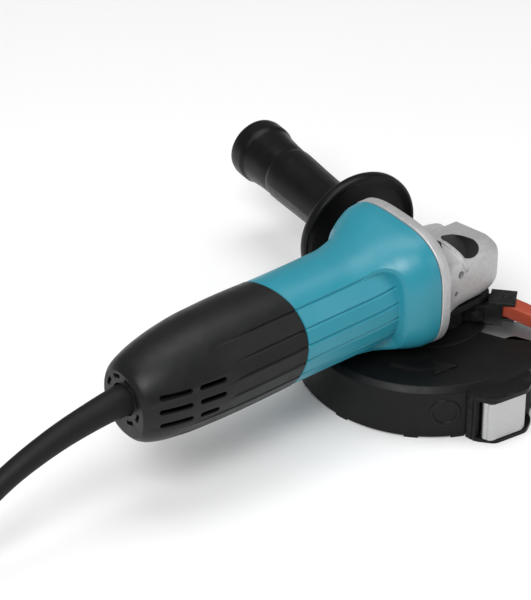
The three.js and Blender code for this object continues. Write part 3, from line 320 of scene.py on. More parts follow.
def smooth(low, high, value):
    """0 before low, 1 after high, and a smooth rise between them."""
    t = min(1.0, max(0.0, (value - low) / (high - low)))
    return t * t * (3 - 2 * t)


def band(edges, value):
    """0 outside the four edges, 1 between the middle two, and smooth slopes between."""
    return smooth(edges[0], edges[1], value) * (1 - smooth(edges[2], edges[3], value))


def through(table, x):
    """The table's columns at x on a smooth curve that never overshoots its rows."""
    spot = next((i for i in range(len(table) - 2) if x < table[i + 1][0]), len(table) - 2)
    a, b = table[spot], table[spot + 1]
    width = b[0] - a[0]
    t = min(1.0, max(0.0, (x - a[0]) / width))

    def slope(i, column):
        if i == 0 or i == len(table) - 1:
            j = max(i, 1)
            return (table[j][column] - table[j - 1][column]) / (table[j][0] - table[j - 1][0])
        back = (table[i][column] - table[i - 1][column]) / (table[i][0] - table[i - 1][0])
        ahead = (table[i + 1][column] - table[i][column]) / (table[i + 1][0] - table[i][0])
        return 0.0 if back * ahead <= 0 else 2 * back * ahead / (back + ahead)

    values = []
    for column in range(1, len(a)):
        start, end = slope(spot, column) * width, slope(spot + 1, column) * width
        rise = b[column] - a[column]
        square, cube = 3 * rise - 2 * start - end, start + end - 2 * rise
        values.append(a[column] + start * t + square * t * t + cube * t ** 3)
    return values


# ---- meshes -------------------------------------------------------------------------------
def new_piece(name, points, faces):
    mesh = bpy.data.meshes.new(name)
    mesh.from_pydata([tuple(p) for p in points], [], faces)
    build = bmesh.new()
    build.from_mesh(mesh)
    bmesh.ops.recalc_face_normals(build, faces=build.faces)
    build.to_mesh(mesh)
    build.free()
    mesh.validate()
    piece = bpy.data.objects.new(name, mesh)
    bpy.context.scene.collection.objects.link(piece)
    return piece


def skin(name, rings, wrap=False):
    """A closed body over rings with equal numbers of points, capped unless it wraps round."""
    count = len(rings[0])
    points = [p for ring in rings for p in ring]
    rows = len(rings) if wrap else len(rings) - 1
    faces = []
    for r in range(rows):
        low, high = r * count, (r + 1) % len(rings) * count
        for i in range(count):
            j = (i + 1) % count
            faces.append((low + i, low + j, high + j, high + i))
    if not wrap:
        for ring, base in ((rings[0], 0), (rings[-1], (len(rings) - 1) * count)):
            points.append(sum(ring, Vector()) / count)
            faces += [(len(points) - 1, base + i, base + (i + 1) % count) for i in range(count)]
    return new_piece(name, points, faces)


def section_reach(values, angle):
    """How far a superellipse section's skin is from its middle, at an angle round the barrel."""
    half, top, bottom, square = values
    across, up = abs(math.cos(angle)) / half, 2 * abs(math.sin(angle)) / (top - bottom)
    return (across ** square + up ** square) ** (-1 / square)


def section_point(values, x, angle, sunk=0.0):
    """A point on a superellipse section, at an angle round the barrel, sunk below the skin."""
    reach = section_reach(values, angle) - sunk
    return at(x, reach * math.cos(angle), (values[1] + values[2]) / 2 + reach * math.sin(angle))


def barrel(name, stations, table, steps, shift=lambda x, angle: 0.0, sunk=lambda x, angle: 0.0):
    rings = []
    for x in stations:
        values = through(table, x)
        ring = []
        for i in range(steps):
            angle = TURN * i / steps
            ring.append(section_point(values, x + shift(x, angle), angle, sunk(x, angle)))
        rings.append(ring)
    return skin(name, rings)


def spaced(*runs):
    """Stations along the barrel: each run is (from, to, step)."""
    found = []
    for start, end, step in runs:
        count = max(1, round((end - start) / step))
        found += [mix(start, end, i / count) for i in range(count)]
    return found + [runs[-1][1]]


def along_bore(table):
    """Stations from the first row of a bore's table to its last."""
    return spaced((table[0][0], table[-1][0], BORE_STATION_STEP))


def arc(radius, start, end, steps, centre=(0, 0)):
    return [
        (centre[0] + radius * math.cos(mix(start, end, i / steps)),
         centre[1] + radius * math.sin(mix(start, end, i / steps)))
        for i in range(steps + 1)
    ]


def rounded(outline, radius, steps=5):
    """The closed outline with each corner rounded off, or less where a side is short."""
    found = []
    for i, point in enumerate(outline):
        here = Vector(point)
        back = Vector(outline[i - 1]) - here
        ahead = Vector(outline[(i + 1) % len(outline)]) - here
        reach = min(radius, back.length * 0.45, ahead.length * 0.45)
        a, b = here + back.normalized() * reach, here + ahead.normalized() * reach
        for k in range(steps + 1):
            t = k / steps
            found.append((a * (1 - t) ** 2 + here * (2 * t * (1 - t)) + b * t * t)[:])
    return found


def prism(name, outline, start, end, place=Matrix.Identity(4)):
    """The [u, v] outline pushed along the local Z axis, in millimetres, then placed."""
    rings = [[place @ Vector((u, v, z)) for u, v in outline] for z in (start, end)]
    count = len(outline)
    points = [at(*p) for ring in rings for p in ring]
    faces = [tuple(range(count)), tuple(range(2 * count - 1, count - 1, -1))]
    faces += [(i, (i + 1) % count, count + (i + 1) % count, count + i) for i in range(count)]
    return new_piece(name, points, faces)


def turned(name, profile, steps=ROUND_STEPS, place=Matrix.Identity(4), scallop=lambda h, angle: 0.0):
    """A closed profile of radius and height turned about the local Z axis; radius 0 closes on it."""
    points, faces, rows = [], [], []
    for r, h in profile:
        if r == 0:
            rows.append([len(points)] * steps)
            points.append(at(*(place @ Vector((0, 0, h)))))
            continue
        rows.append(list(range(len(points), len(points) + steps)))
        for i in range(steps):
            angle = TURN * i / steps
            reach = r - scallop(h, angle)
            points.append(at(*(place @ Vector((reach * math.cos(angle), reach * math.sin(angle), h)))))
    closes = profile[0][0] != 0 or profile[-1][0] != 0
    for a, b in zip(rows, rows[1:] + rows[:1] if closes else rows[1:]):
        for i in range(steps):
            j = (i + 1) % steps
            corners = []
            for v in (a[i], a[j], b[j], b[i]):
                if v not in corners:
                    corners.append(v)
            if len(corners) > 2:
                faces.append(tuple(corners))
    return new_piece(name, points, faces)


def part_turned(name, profile, start, end, steps, edge=lambda r: 0.0):
    """A closed profile turned from one angle to another about the spindle; edge(r) shifts its start."""
    rings = []
    for k in range(steps + 1):
        t = k / steps
        ring = []
        for r, z in profile:
            angle = mix(start + edge(r) * (1 - t) ** 3, end, t)
            ring.append(at(r * math.cos(angle), r * math.sin(angle), z))
        rings.append(ring)
    count = len(profile)
    points = [p for ring in rings for p in ring]
    faces = [tuple(range(count)), tuple(range(steps * count, (steps + 1) * count))[::-1]]
    for k in range(steps):
        for i in range(count):
            j = (i + 1) % count
            faces.append((k * count + i, k * count + j, (k + 1) * count + j, (k + 1) * count + i))
    return new_piece(name, points, faces)


def rod(name, radius, start, end, place=Matrix.Identity(4), steps=ROUND_STEPS // 2):
    return prism(name, arc(radius, 0, TURN, steps)[:-1], start, end, place)


def block(name, low, high):
    (x0, y0, z0), (x1, y1, z1) = low, high
    return prism(name, [(x0, y0), (x1, y0), (x1, y1), (x0, y1)], z0, z1)


def along(axis, spot=(0, 0, 0)):
    """A placement whose local Z axis lies along the given direction, with its origin at spot."""
    turn = Vector((0, 0, 1)).rotation_difference(Vector(axis)).to_matrix().to_4x4()
    return Matrix.Translation(Vector(spot)) @ turn


ACROSS = Matrix(((0, 0, 1, 0), (1, 0, 0, 0), (0, 1, 0, 0), (0, 0, 0, 1)))   # u, v become Y, Z
ALONG_BARREL = along((1, 0, 0))


def settle(piece):
    """Replaces the piece's mesh with what its modifiers make of it."""
    bpy.context.view_layer.update()
    made = bpy.data.meshes.new_from_object(piece.evaluated_get(bpy.context.evaluated_depsgraph_get()))
    piece.modifiers.clear()
    piece.data = made


def soften(piece, width, segments):
    """Rounds the piece's sharp edges; the width is in metres."""
    modifier = piece.modifiers.new("edges", "BEVEL")
    modifier.width = width
    modifier.segments = segments
    modifier.angle_limit = EDGE_ANGLE


def combine(piece, tools, operation):
    for tool in tools:
        modifier = piece.modifiers.new("combine", "BOOLEAN")
        modifier.solver = "MANIFOLD"
        modifier.operation = operation
        modifier.object = tool
        settle(piece)
        bpy.data.objects.remove(tool)
    return piece


def cut(piece, *tools):
    return combine(piece, tools, "DIFFERENCE")


def add(piece, *tools):
    return combine(piece, tools, "UNION")


def dress(piece, material, body, slot, *nodes, sharp=32):
    """Shading, material and the bookkeeping that every finished piece needs."""
    piece.data.materials.clear()
    piece.data.materials.append(material)
    piece.data.polygons.foreach_set("use_smooth", [True] * len(piece.data.polygons))
    piece.data.set_sharp_from_angle(angle=math.radians(sharp))
    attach(piece, body)
    if nodes:
        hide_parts(*nodes)
    return piece


# ---- materials ----------------------------------------------------------------------------
TINT_DETAIL = 4
WEAR_SCALE, WEAR_DETAIL = 260, 5
WEAR_PATCHES = (0.42, 0.66)   # noise between which the wear fades in
WEAR_RIDGES = (0.53, 0.6)     # pointiness between which an edge counts as worn
GLOSS_SCALE, GLOSS_DETAIL, GLOSS_SPREAD = 2.3, 6, 0.06
GRAIN_DETAIL = 3
GRAIN_HEIGHT = 0.0004         # metres


def finish(name, colour, rough, metal=0.0, specular=0.5, grain=(1600, 0.1), mottle=(60, 0.08),
           streak=(1, 1, 1), wear=0.0, worn=(0.5, 0.5, 0.5), edge=0.0):
    """A procedural surface: mottled colour, uneven gloss, grain, and lighter worn edges."""
    material = bpy.data.materials.new(name)
    material.use_nodes = True
    nodes, links = material.node_tree.nodes, material.node_tree.links
    shader = nodes["Principled BSDF"]
    shader.inputs["Metallic"].default_value = metal
    shader.inputs["Specular IOR Level"].default_value = specular
    place = nodes.new("ShaderNodeTexCoord")
    stretch = nodes.new("ShaderNodeMapping")
    stretch.inputs["Scale"].default_value = streak
    links.new(place.outputs["Object"], stretch.inputs["Vector"])

    def noise(scale, detail):
        node = nodes.new("ShaderNodeTexNoise")
        node.inputs["Scale"].default_value = scale
        node.inputs["Detail"].default_value = detail
        links.new(stretch.outputs["Vector"], node.inputs["Vector"])
        return node.outputs["Fac"]

    def ranged(value, low, high, to_low, to_high):
        node = nodes.new("ShaderNodeMapRange")
        numbers = {"From Min": low, "From Max": high, "To Min": to_low, "To Max": to_high}
        for socket, number in numbers.items():
            node.inputs[socket].default_value = number
        links.new(value, node.inputs["Value"])
        return node.outputs["Result"]

    def blended(factor, first, second):
        node = nodes.new("ShaderNodeMix")
        node.data_type = "RGBA"
        links.new(factor, node.inputs["Factor"])
        for socket, value in (("A", first), ("B", second)):
            target = next(s for s in node.inputs if s.name == socket and s.type == "RGBA")
            if isinstance(value, tuple):
                target.default_value = (*value, 1)
            else:
                links.new(value, target)
        return next(s for s in node.outputs if s.type == "RGBA")

    mottle_scale, spread = mottle
    darker = tuple(c * (1 - spread) for c in colour)
    lighter = tuple(min(1.0, c * (1 + spread)) for c in colour)
    tint = blended(noise(mottle_scale, TINT_DETAIL), darker, lighter)
    if wear:
        geometry = nodes.new("ShaderNodeNewGeometry")
        patchy = ranged(noise(WEAR_SCALE, WEAR_DETAIL), *WEAR_PATCHES, 0, wear)
        ridge = ranged(geometry.outputs["Pointiness"], *WEAR_RIDGES, 0, 1)
        product = nodes.new("ShaderNodeMath")
        product.operation = "MULTIPLY"
        links.new(patchy, product.inputs[0])
        links.new(ridge, product.inputs[1])
        tint = blended(product.outputs["Value"], tint, worn)
    links.new(tint, shader.inputs["Base Color"])
    unevenness = noise(mottle_scale * GLOSS_SCALE, GLOSS_DETAIL)
    gloss = ranged(unevenness, 0.3, 0.7, rough - GLOSS_SPREAD, rough + GLOSS_SPREAD)
    links.new(gloss, shader.inputs["Roughness"])
    grain_scale, grain_strength = grain
    bump = nodes.new("ShaderNodeBump")
    bump.inputs["Strength"].default_value = grain_strength
    bump.inputs["Distance"].default_value = GRAIN_HEIGHT
    links.new(noise(grain_scale, GRAIN_DETAIL), bump.inputs["Height"])
    if edge:
        bevel = nodes.new("ShaderNodeBevel")
        bevel.samples = 3
        bevel.inputs["Radius"].default_value = edge
        links.new(bevel.outputs["Normal"], bump.inputs["Normal"])
    links.new(bump.outputs["Normal"], shader.inputs["Normal"])
    return material


TEAL = finish("teal_moulding", (0.022, 0.235, 0.31), 0.34, specular=0.4, grain=(2600, 0.08),
              mottle=(38, 0.06), wear=0.2, worn=(0.1, 0.38, 0.46), edge=0.0003)
BLACK = finish("black_moulding", (0.0095, 0.0098, 0.0103), 0.4, specular=0.22, grain=(3200, 0.16),
               mottle=(70, 0.2), wear=0.35, worn=(0.04, 0.04, 0.042), edge=0.0003)
GRIP = finish("grip_moulding", (0.0045, 0.0046, 0.0048), 0.36, specular=0.2, grain=(2400, 0.14),
              mottle=(90, 0.22), wear=0.3, worn=(0.025, 0.025, 0.026), edge=0.0004)
COVER = finish("cover_moulding", (0.0048, 0.0049, 0.0051), 0.42, specular=0.18, grain=(2800, 0.16),
               mottle=(80, 0.22), wear=0.3, worn=(0.03, 0.03, 0.03), edge=0.0005)
RUBBER = finish("black_rubber", (0.0075, 0.0076, 0.0079), 0.56, specular=0.2, grain=(4200, 0.2),
                mottle=(120, 0.2))
ALLOY = finish("cast_alloy", (0.5, 0.5, 0.505), 0.46, metal=0.5, grain=(1100, 0.5),
               mottle=(420, 0.16), wear=0.5, worn=(0.72, 0.72, 0.72), edge=0.0005)
PLATED = finish("plated_steel", (0.55, 0.55, 0.54), 0.34, metal=1.0, grain=(900, 0.06),
                mottle=(300, 0.12), wear=0.3, worn=(0.75, 0.75, 0.75), edge=0.0002)
BRIGHT = finish("bright_steel", (0.47, 0.47, 0.475), 0.36, metal=0.9, grain=(2200, 0.08),
                mottle=(240, 0.12), streak=(1, 1, 14), wear=0.3, worn=(0.6, 0.6, 0.6), edge=0.0002)
DARK_STEEL = finish("black_steel", (0.008, 0.0082, 0.0086), 0.4, specular=0.3, grain=(1700, 0.1),
                    mottle=(120, 0.15), wear=0.25, worn=(0.05, 0.05, 0.05), edge=0.0006)
GUARD_STEEL = finish("guard_steel", (0.42, 0.43, 0.44), 0.38, metal=0.9, grain=(1100, 0.08),
                     mottle=(90, 0.14), streak=(1, 6, 1), wear=0.4, worn=(0.7, 0.7, 0.7), edge=0.0003)
RED = finish("red_moulding", (0.36, 0.06, 0.03), 0.36, specular=0.4, grain=(2000, 0.12),
             mottle=(80, 0.14), wear=0.5, worn=(0.6, 0.22, 0.15), edge=0.0008)
COPPER = finish("winding_copper", (0.5, 0.2, 0.08), 0.34, metal=0.9, grain=(700, 0.5),
                mottle=(400, 0.3), streak=(4, 1, 1))
IRON = finish("laminated_iron", (0.17, 0.17, 0.18), 0.46, metal=0.85, grain=(600, 0.3),
              mottle=(220, 0.2), streak=(12, 1, 1))
# painted shade: a dark finish for the duct mouth's walls and floor, standing for the shadow in the deep
# mouth and the dark fan baffle behind it
MOUTH_PAINTED_SHADE = finish("mouth_painted_shade", (0.028, 0.028, 0.029), 0.6, specular=0.3,
                     grain=(1100, 0.3), mottle=(300, 0.2))
CARBON = finish("carbon", (0.02, 0.02, 0.021), 0.7, grain=(3000, 0.3), mottle=(500, 0.3))
WHITE = finish("floor", (0.93, 0.93, 0.93), 0.7, specular=0.2, grain=(40, 0.0), mottle=(3, 0.01))

BLACKED = ("lever_pin", "clamp_bolt")     # shown black, although their slot is plated steel
CAD_EDGE = 0.0003                         # metres
SLOT_LOOKS = {
    "teal_housing": TEAL,
    "black_plastic": BLACK,
    "black_rubber": RUBBER,
    "cast_alloy": ALLOY,
    "plated_steel": PLATED,
    "bright_steel": BRIGHT,
    "black_steel": DARK_STEEL,
    "guard_steel": GUARD_STEEL,
    "red_plastic": RED,
    "winding_copper": COPPER,
    "laminated_iron": IRON,
    "carbon": CARBON,
}


# ---- barrel -------------------------------------------------------------------------------
def seam_shift(angle):
    """The seam between housing and rear cover bows forward on two opposite flanks."""
    return SEAM_BULGE * math.cos(2 * (angle - SEAM_CREST))


def flank_height(angle):
    """Degrees above the nearer flank's middle line, for a point round the barrel."""
    return math.degrees(math.asin(math.sin(angle)))


def groove(distance, half=FLUTE_HALF):
    return max(0.0, 1 - abs(distance) / half)


def flare(x, angle):
    """How far the housing's shoulder stands out beyond the straight barrel it grows from."""
    if x < PANEL_STRAIGHT:
        return 0.0
    here = section_reach(through(HOUSING_SKIN, x), angle)
    straight = section_reach(through(HOUSING_SKIN, PANEL_STRAIGHT), angle)
    return max(0.0, here - straight)


def panel_depth(x, angle):
    """How far the fluted grip panel lies below the smooth barrel."""
    height = flank_height(angle)
    middle, half = (PANEL_TOP + PANEL_BOTTOM) / 2, (PANEL_TOP - PANEL_BOTTOM) / 2
    scale = math.radians(1) * PANEL_RADIUS
    ahead = x - (PANEL_FRONT - PANEL_CORNER)
    aside = (abs(height - middle) - half) * scale + PANEL_CORNER
    outside = math.hypot(max(ahead, 0), max(aside, 0)) + min(max(ahead, aside), 0) - PANEL_CORNER
    inside = smooth(0, PANEL_EDGE, -outside)
    depth = FLUTE_DEPTH * groove(outside, BORDER_HALF) + inside * (PANEL_SINK + flare(x, angle))
    edges = (PANEL_TOP, *FLUTES, PANEL_BOTTOM)
    for high, low in zip(edges, edges[1:]):
        if low <= height <= high:
            spread = math.radians(high - low) / 2
            off_middle = math.radians(height - (high + low) / 2)
            depth += inside * PANEL_RADIUS * (1 - math.cos(spread) / math.cos(off_middle))
    for flute in FLUTES:
        depth += inside * FLUTE_DEPTH * groove((height - flute) * scale)
    return depth


def rounding(x, *ends):
    """Sinks the skin a little at each end, so that the rim reads as a moulded edge."""
    return sum(RIM * (1 - smooth(0, RIM, abs(x - end))) for end in ends)


def motor_housing():
    rear, front = SEAM_X + SEAM_GAP, FLANGE_X - FLANGE_GAP
    stations = spaced(
        (rear, rear + RIM, RIM_STEP), (rear + RIM, PANEL_FINE[0], 3), (*PANEL_FINE, 0.3),
        (PANEL_FINE[1], front - RIM, 1.1), (front - RIM, front, RIM_STEP),
    )

    def shift(x, angle):
        return seam_shift(angle) * (1 - smooth(rear, SEAM_FADE[1], x))

    def sunk(x, angle):
        return panel_depth(x, angle) + rounding(x, rear, front)

    piece = barrel("housing_shell", stations, HOUSING_SKIN, BARREL_STEPS, shift, sunk)
    bore = barrel("bore", along_bore(HOUSING_BORE), HOUSING_BORE, BORE_STEPS)
    slot = block("slot", *SWITCH_SLOT)
    cut(piece, bore, slot)
    return dress(piece, TEAL, "tool", "teal_housing", "motor_housing")


def vent_tool(start, end, z, side):
    half = VENT_HALF
    outline = arc(half, math.pi / 2, 3 * math.pi / 2, 8, (start + half, z))
    outline += arc(half, -math.pi / 2, math.pi / 2, 8, (end - half, z))
    stand_up = Matrix.Rotation(math.pi / 2, 4, "X")
    near, far = sorted(-side * reach for reach in VENT_CUT)
    return prism("vent", outline, near, far, stand_up)


def cover_flutes(x, height):
    """1 where the cover's flutes have their full depth, 0 behind where they run out."""
    end = mix(FLUTE_END_HIGH, FLUTE_END_LOW, min(1.0, max(0.0, (FLUTE_HIGH - height) / FLUTE_SPAN)))
    return smooth(end, end + FLUTE_FADE, x)


def vent_field(x, height):
    """1 on the smooth, slightly sunk field that the vents are cut into."""
    return band(VENT_BAND, x) * (1 - smooth(*VENT_FIELD_HALF, abs(height - 1)))


def rear_cover():
    front = SEAM_X - SEAM_GAP
    stations = spaced(
        (TAIL_X, TAIL_X + 4, 0.5), (TAIL_X + 4, -184, 1), (-184, -140, 2), (-140, front - RIM, 3),
        (front - RIM, front, RIM_STEP),
    )

    def shift(x, angle):
        return seam_shift(angle) * smooth(SEAM_FADE[0], front, x)

    def sunk(x, angle):
        height = flank_height(angle)
        field = vent_field(x, height)
        flutes = panel_depth(COVER_FLUTES_AT, angle) * cover_flutes(x, height) * (1 - field)
        return flutes + VENT_FIELD_SINK * field + rounding(x, front)

    piece = barrel("rear_cover_shell", stations, COVER_SKIN, BARREL_STEPS, shift, sunk)
    tools = [barrel("bore", along_bore(COVER_BORE), COVER_BORE, BORE_STEPS)]
    tools.append(rod("boot_hole", BOOT_HOLE, *BOOT_HOLE_CUT, ALONG_BARREL))
    for side in (1, -1):
        tools += [vent_tool(start, end, z, side) for start, end, z in VENTS]
    for i in range(TAIL_SLOTS):
        middle = TURN * (i + 0.5) / TAIL_SLOTS
        outline = arc(TAIL_SLOT_OUTER, middle - TAIL_SLOT_HALF, middle + TAIL_SLOT_HALF, 8)
        outline += arc(TAIL_SLOT_INNER, middle + TAIL_SLOT_HALF, middle - TAIL_SLOT_HALF, 8)
        tools.append(prism("tail_slot", rounded(outline, 0.5, 2), *TAIL_SLOT_CUT, ALONG_BARREL))
    cut(piece, *tools)
    return dress(piece, BLACK, "tool", "black_plastic", "rear_cover")


# ---- head ---------------------------------------------------------------------------------
def handle_place():
    """The side handle's own space: its axis is local Z."""
    lean = Matrix.Rotation(HANDLE_LEAN, 4, "Z")
    return Matrix.Translation(Vector(HANDLE_FOOT)) @ lean @ Matrix.Rotation(-math.pi / 2, 4, "X")


def mouth_place():
    """The duct mouth's own space: local Z points out of the mouth."""
    return Matrix.Translation(Vector((MOUTH_X, 0, 0))) @ Matrix.Rotation(math.radians(MOUTH_TILT), 4, "X")


def head_relief(x, angle):
    """A raised lip behind the duct mouth, on the right side only."""
    if math.cos(angle) > 0:
        return 0.0
    return -LIP_RISE * band(LIP_BAND, x) * band(LIP_ARC, flank_height(angle))


def darken_mouth(piece):
    """The duct mouth's inside faces take a dark material: painted shade of the deep mouth, standing also
    for the black fan baffle behind it.
    """
    piece.data.materials.append(MOUTH_PAINTED_SHADE)
    back = mouth_place().inverted()
    for face in piece.data.polygons:
        spot = back @ (Vector(face.center) / MM - Vector((0, 0, AXIS_HEIGHT / MM)))
        inside = math.hypot(spot.x, spot.y) < MOUTH_RADIUS + CLOSE and MOUTH_DEEP - CLOSE < spot.z
        facing = (back.to_3x3() @ face.normal).z
        on_floor = spot.z < MOUTH_DEEP + CLOSE and facing > 0.9
        on_wall = abs(facing) < 0.1
        if inside and (on_floor or on_wall):
            face.material_index = 1


def head_rooms():
    """What is cut out inside the head: seats and rooms for the bearings, gears, button and stud."""
    tools = [rod(name, radius, start, end, ALONG_BARREL) for name, radius, start, end in BARREL_ROOMS]
    tools += [rod(name, radius, start, end) for name, radius, start, end in SPINDLE_ROOMS]
    tools.append(block("pinion_room", *PINION_ROOM))
    button = Matrix.Translation(Vector((*LOCK_BUTTON, 0)))
    tools += [rod(name, radius, start, end, button) for name, radius, start, end in BUTTON_ROOMS]
    tools.append(rod("stud_hole", STUD_RADIUS, *STUD_CUT, handle_place()))
    for side in (1, -1):
        near, far = sorted(side * reach for reach in DUCT_SIDES)
        corners = zip(DUCT_RUN, (near, far), DUCT_HEIGHTS)
        tools.append(block("duct", *corners))
    return tools


def nose_slope():
    """What is cut off above the nose's sloping ridge."""
    slope = prism("nose_slope", rounded(NOSE_OUTLINE, 1), 0, NOSE_DEPTH, along(NOSE_UP, NOSE_SPOT))
    return combine(slope, [block("nose", *NOSE_ONLY)], "INTERSECT")


def head_openings():
    """What is cut out of the head's skin: the mouth, the open shoulder, the slope and the holes."""
    mouth = rounded(arc(MOUTH_RADIUS, -MOUTH_EDGE, MOUTH_EDGE, 32), MOUTH_CORNER, 3)
    tools = [
        prism("mouth", mouth, MOUTH_DEEP, MOUTH_PAST_SKIN, mouth_place()),
        prism("scoop", rounded(SCOOP, SCOOP_CORNER), *SCOOP_RUN, ACROSS),
        nose_slope(),
    ]
    for x, z, radius, floor in SIDE_HOLES:
        tools.append(rod("side_hole", radius, -PAST_SIDE, -floor, along((0, 1, 0), (x, 0, z)), SMALL_STEPS))
    for y, z in HEAD_SCREW_SPOTS:
        place = along((1, 0, 0), (0, y, z))
        tools.append(rod("screw_recess", SCREW_RECESS, *SCREW_RECESS_CUT, place, SMALL_STEPS))
        tools.append(rod("screw_hole", SCREW_HOLE, *SCREW_HOLE_CUT, place, SMALL_STEPS))
    return tools


def gear_housing():
    piece = barrel("gear_housing_casting", spaced(*HEAD_RUNS), HEAD_SKIN, HEAD_STEPS, sunk=head_relief)
    flange = barrel("flange", [row[0] for row in HEAD_FLANGE], HEAD_FLANGE, HEAD_STEPS)
    snout = rod("snout", SNOUT_RADIUS, SNOUT_REAR, FLANGE_X + 1, ALONG_BARREL)
    boss = rod("boss", BOSS_RADIUS, *BOSS_RUN, handle_place())
    add(piece, flange, snout, boss)
    cut(piece, *head_rooms(), *head_openings())
    dress(piece, ALLOY, "tool", "cast_alloy", "gear_housing")
    darken_mouth(piece)
    return piece


# ---- guard --------------------------------------------------------------------------------
def wheel_guard():
    profile = [(30, GUARD_UNDER), (30, GUARD_TOP)] + arc(2.6, math.pi / 2, 0, 6, (62.8, -37.1))
    profile += [(65.4, GUARD_RIM), (63.6, GUARD_RIM), (63.6, -37.9), (62, GUARD_UNDER)]
    piece = part_turned("guard_sheet", profile, *GUARD_SWEEP, ROUND_STEPS)
    hub = [(GUARD_BORE, GUARD_UNDER), (GUARD_HUB, GUARD_UNDER)]
    hub += [(GUARD_HUB, GUARD_TOP), (GUARD_BORE, GUARD_TOP)]
    add(piece, turned("hub", hub))
    return dress(piece, GUARD_STEEL, "guard", "guard_steel", "wheel_guard")


def cover_edge(radius):
    """The cover's front edge steps back near the hub and forward near the rim."""
    return math.radians(mix(-5, 3, smooth(44, 50, radius)) * (1 - smooth(62, 68, radius)))


def guard_cover():
    profile = [(32.2, -34.2), (32.2, -32.6)] + [(radius, COVER_TOP) for radius in (32.7, 46, 48, 50, 60)]
    profile += arc(0.9, math.pi / 2, math.pi / 4, 3, (66.1, -33.1))
    profile += arc(0.9, math.pi / 4, 0, 3, (68.5, -35.5))
    profile += [(COVER_WALL, COVER_RIM + 0.5), (68.9, COVER_RIM), (66, COVER_RIM), (66, -36), (64.4, -34.2)]
    piece = part_turned("guard_cover_moulding", profile, *COVER_SWEEP, COVER_STEPS, cover_edge)
    add(piece, *cover_feet(), cover_bracket(), cover_arrow(), cover_badge())
    return dress(piece, COVER, "guard", "black_plastic", "guard_cover")


def cover_feet():
    """Short feet under the wall."""
    inner, outer, top = 66.2, 69.3, COVER_RIM + 1
    profile = [(inner, FOOT_BOTTOM), (outer, FOOT_BOTTOM), (outer, top), (inner, top)]
    feet = []
    for middle in FEET:
        start, end = math.radians(middle + FOOT_HALF), math.radians(middle - FOOT_HALF)
        feet.append(part_turned("foot", profile, start, end, 6))
    return feet


def latch_place():
    """The latch's own space: local X points outward from the spindle, at the clip."""
    return Matrix.Rotation(LATCH_TURN, 4, "Z")


def clip_place():
    """The clip's own space: its pin is local Z."""
    return latch_place() @ Matrix.Translation(Vector(CLIP_PIN))


def cover_bracket():
    """The pocket that carries the clip: a shelf, a lower lip, a back wall and a hinge post."""
    outline = rounded([(67.4, -19), (73.4, -17), (80.4, -9), (80.4, 10), (74.4, 17), (67.4, 19)], 2.4)
    place = latch_place()
    shelf = prism("shelf", outline, *SHELF_RUN, place)
    lip = prism("lip", outline, *POCKET_LIP_RUN, place)
    back = prism("back", [(67.4, -19), (71, -18), (71, 18), (67.4, 19)], *POCKET_BACK_RUN, place)
    post_outline = rounded([(68.4, -17.6), (73, -17.6), (73, -14.4), (68.4, -14.4)], 0.6)
    post = prism("post", post_outline, *POST_RUN, place)
    add(shelf, lip, back, post)
    return cut(shelf, rod("pin_hole", CLIP_BORE, *PIN_HOLE_CUT, clip_place(), SMALL_STEPS))


def cover_arrow():
    """A plain raised arrow on the top face that shows which way the wheel turns."""
    tail, neck, tip = (math.radians(angle) for angle in ARROW_ANGLES)
    inner, outer = ARROW_SHAFT
    corners = zip(ARROW_HEAD, (neck, tip, neck))
    head = [(radius * math.cos(angle), radius * math.sin(angle)) for radius, angle in corners]
    outline = arc(outer, tail, neck, 16) + head + arc(inner, neck, tail, 16)
    return prism("arrow", outline, *ARROW_RUN)


def cover_badge():
    """A plain raised ring on the wall."""
    wide, proud = BADGE_WIRE
    turns, arounds = BADGE_STEPS
    rings = []
    for i in range(turns):
        turn = TURN * i / turns
        ring = []
        for k in range(arounds):
            around = TURN * k / arounds
            reach = BADGE_REACH + wide * math.cos(around)
            angle = BADGE_TURN + reach * math.cos(turn) / COVER_WALL
            radius = COVER_WALL + proud * math.sin(around)
            height = BADGE_HEIGHT + reach * math.sin(turn)
            ring.append(at(radius * math.cos(angle), radius * math.sin(angle), height))
        rings.append(ring)
    return skin("badge", rings, wrap=True)


def cover_clip():
    """A folded sheet hook that turns about the pocket's pin."""
    bend = [(-0.4, -1.9), (2.6, -1.4), (3.4, -0.6), (4, 1), (4, 18.4), (3.3, 20.4), (2.2, 21.6)]
    outline = [(u + 0.5, v) for u, v in bend] + [(u - 0.6, v) for u, v in reversed(bend)]
    place = clip_place()
    low, high = CLIP_RUN
    piece = prism("cover_clip_sheet", rounded(outline, 0.5, 3), low, high, place)
    tube = [(CLIP_BORE, low), (KNUCKLE, low), (KNUCKLE, high), (CLIP_BORE, high)]
    add(piece, turned("knuckle", tube, 32, place))
    cut(piece, rod("pin_room", CLIP_BORE, *CLIP_CUT, place, 32))
    return dress(piece, BRIGHT, "clip", "bright_steel", "cover_clip")


def guard_collar():
    profile = [
        (GUARD_BORE, -34.2), (31.2, -34.2), (31.6, -33.8), (31.6, -33.3), (31.3, -33), (20.4, -33),
        (19.5, -32.6), (19.2, -31.8), (19.2, -21), (18.8, -20.6), (18.1, -20.6), (GUARD_BORE, -20.9),
    ]
    piece = turned("guard_collar_ring", profile)
    return dress(piece, DARK_STEEL, "guard", "black_steel", "guard_collar")


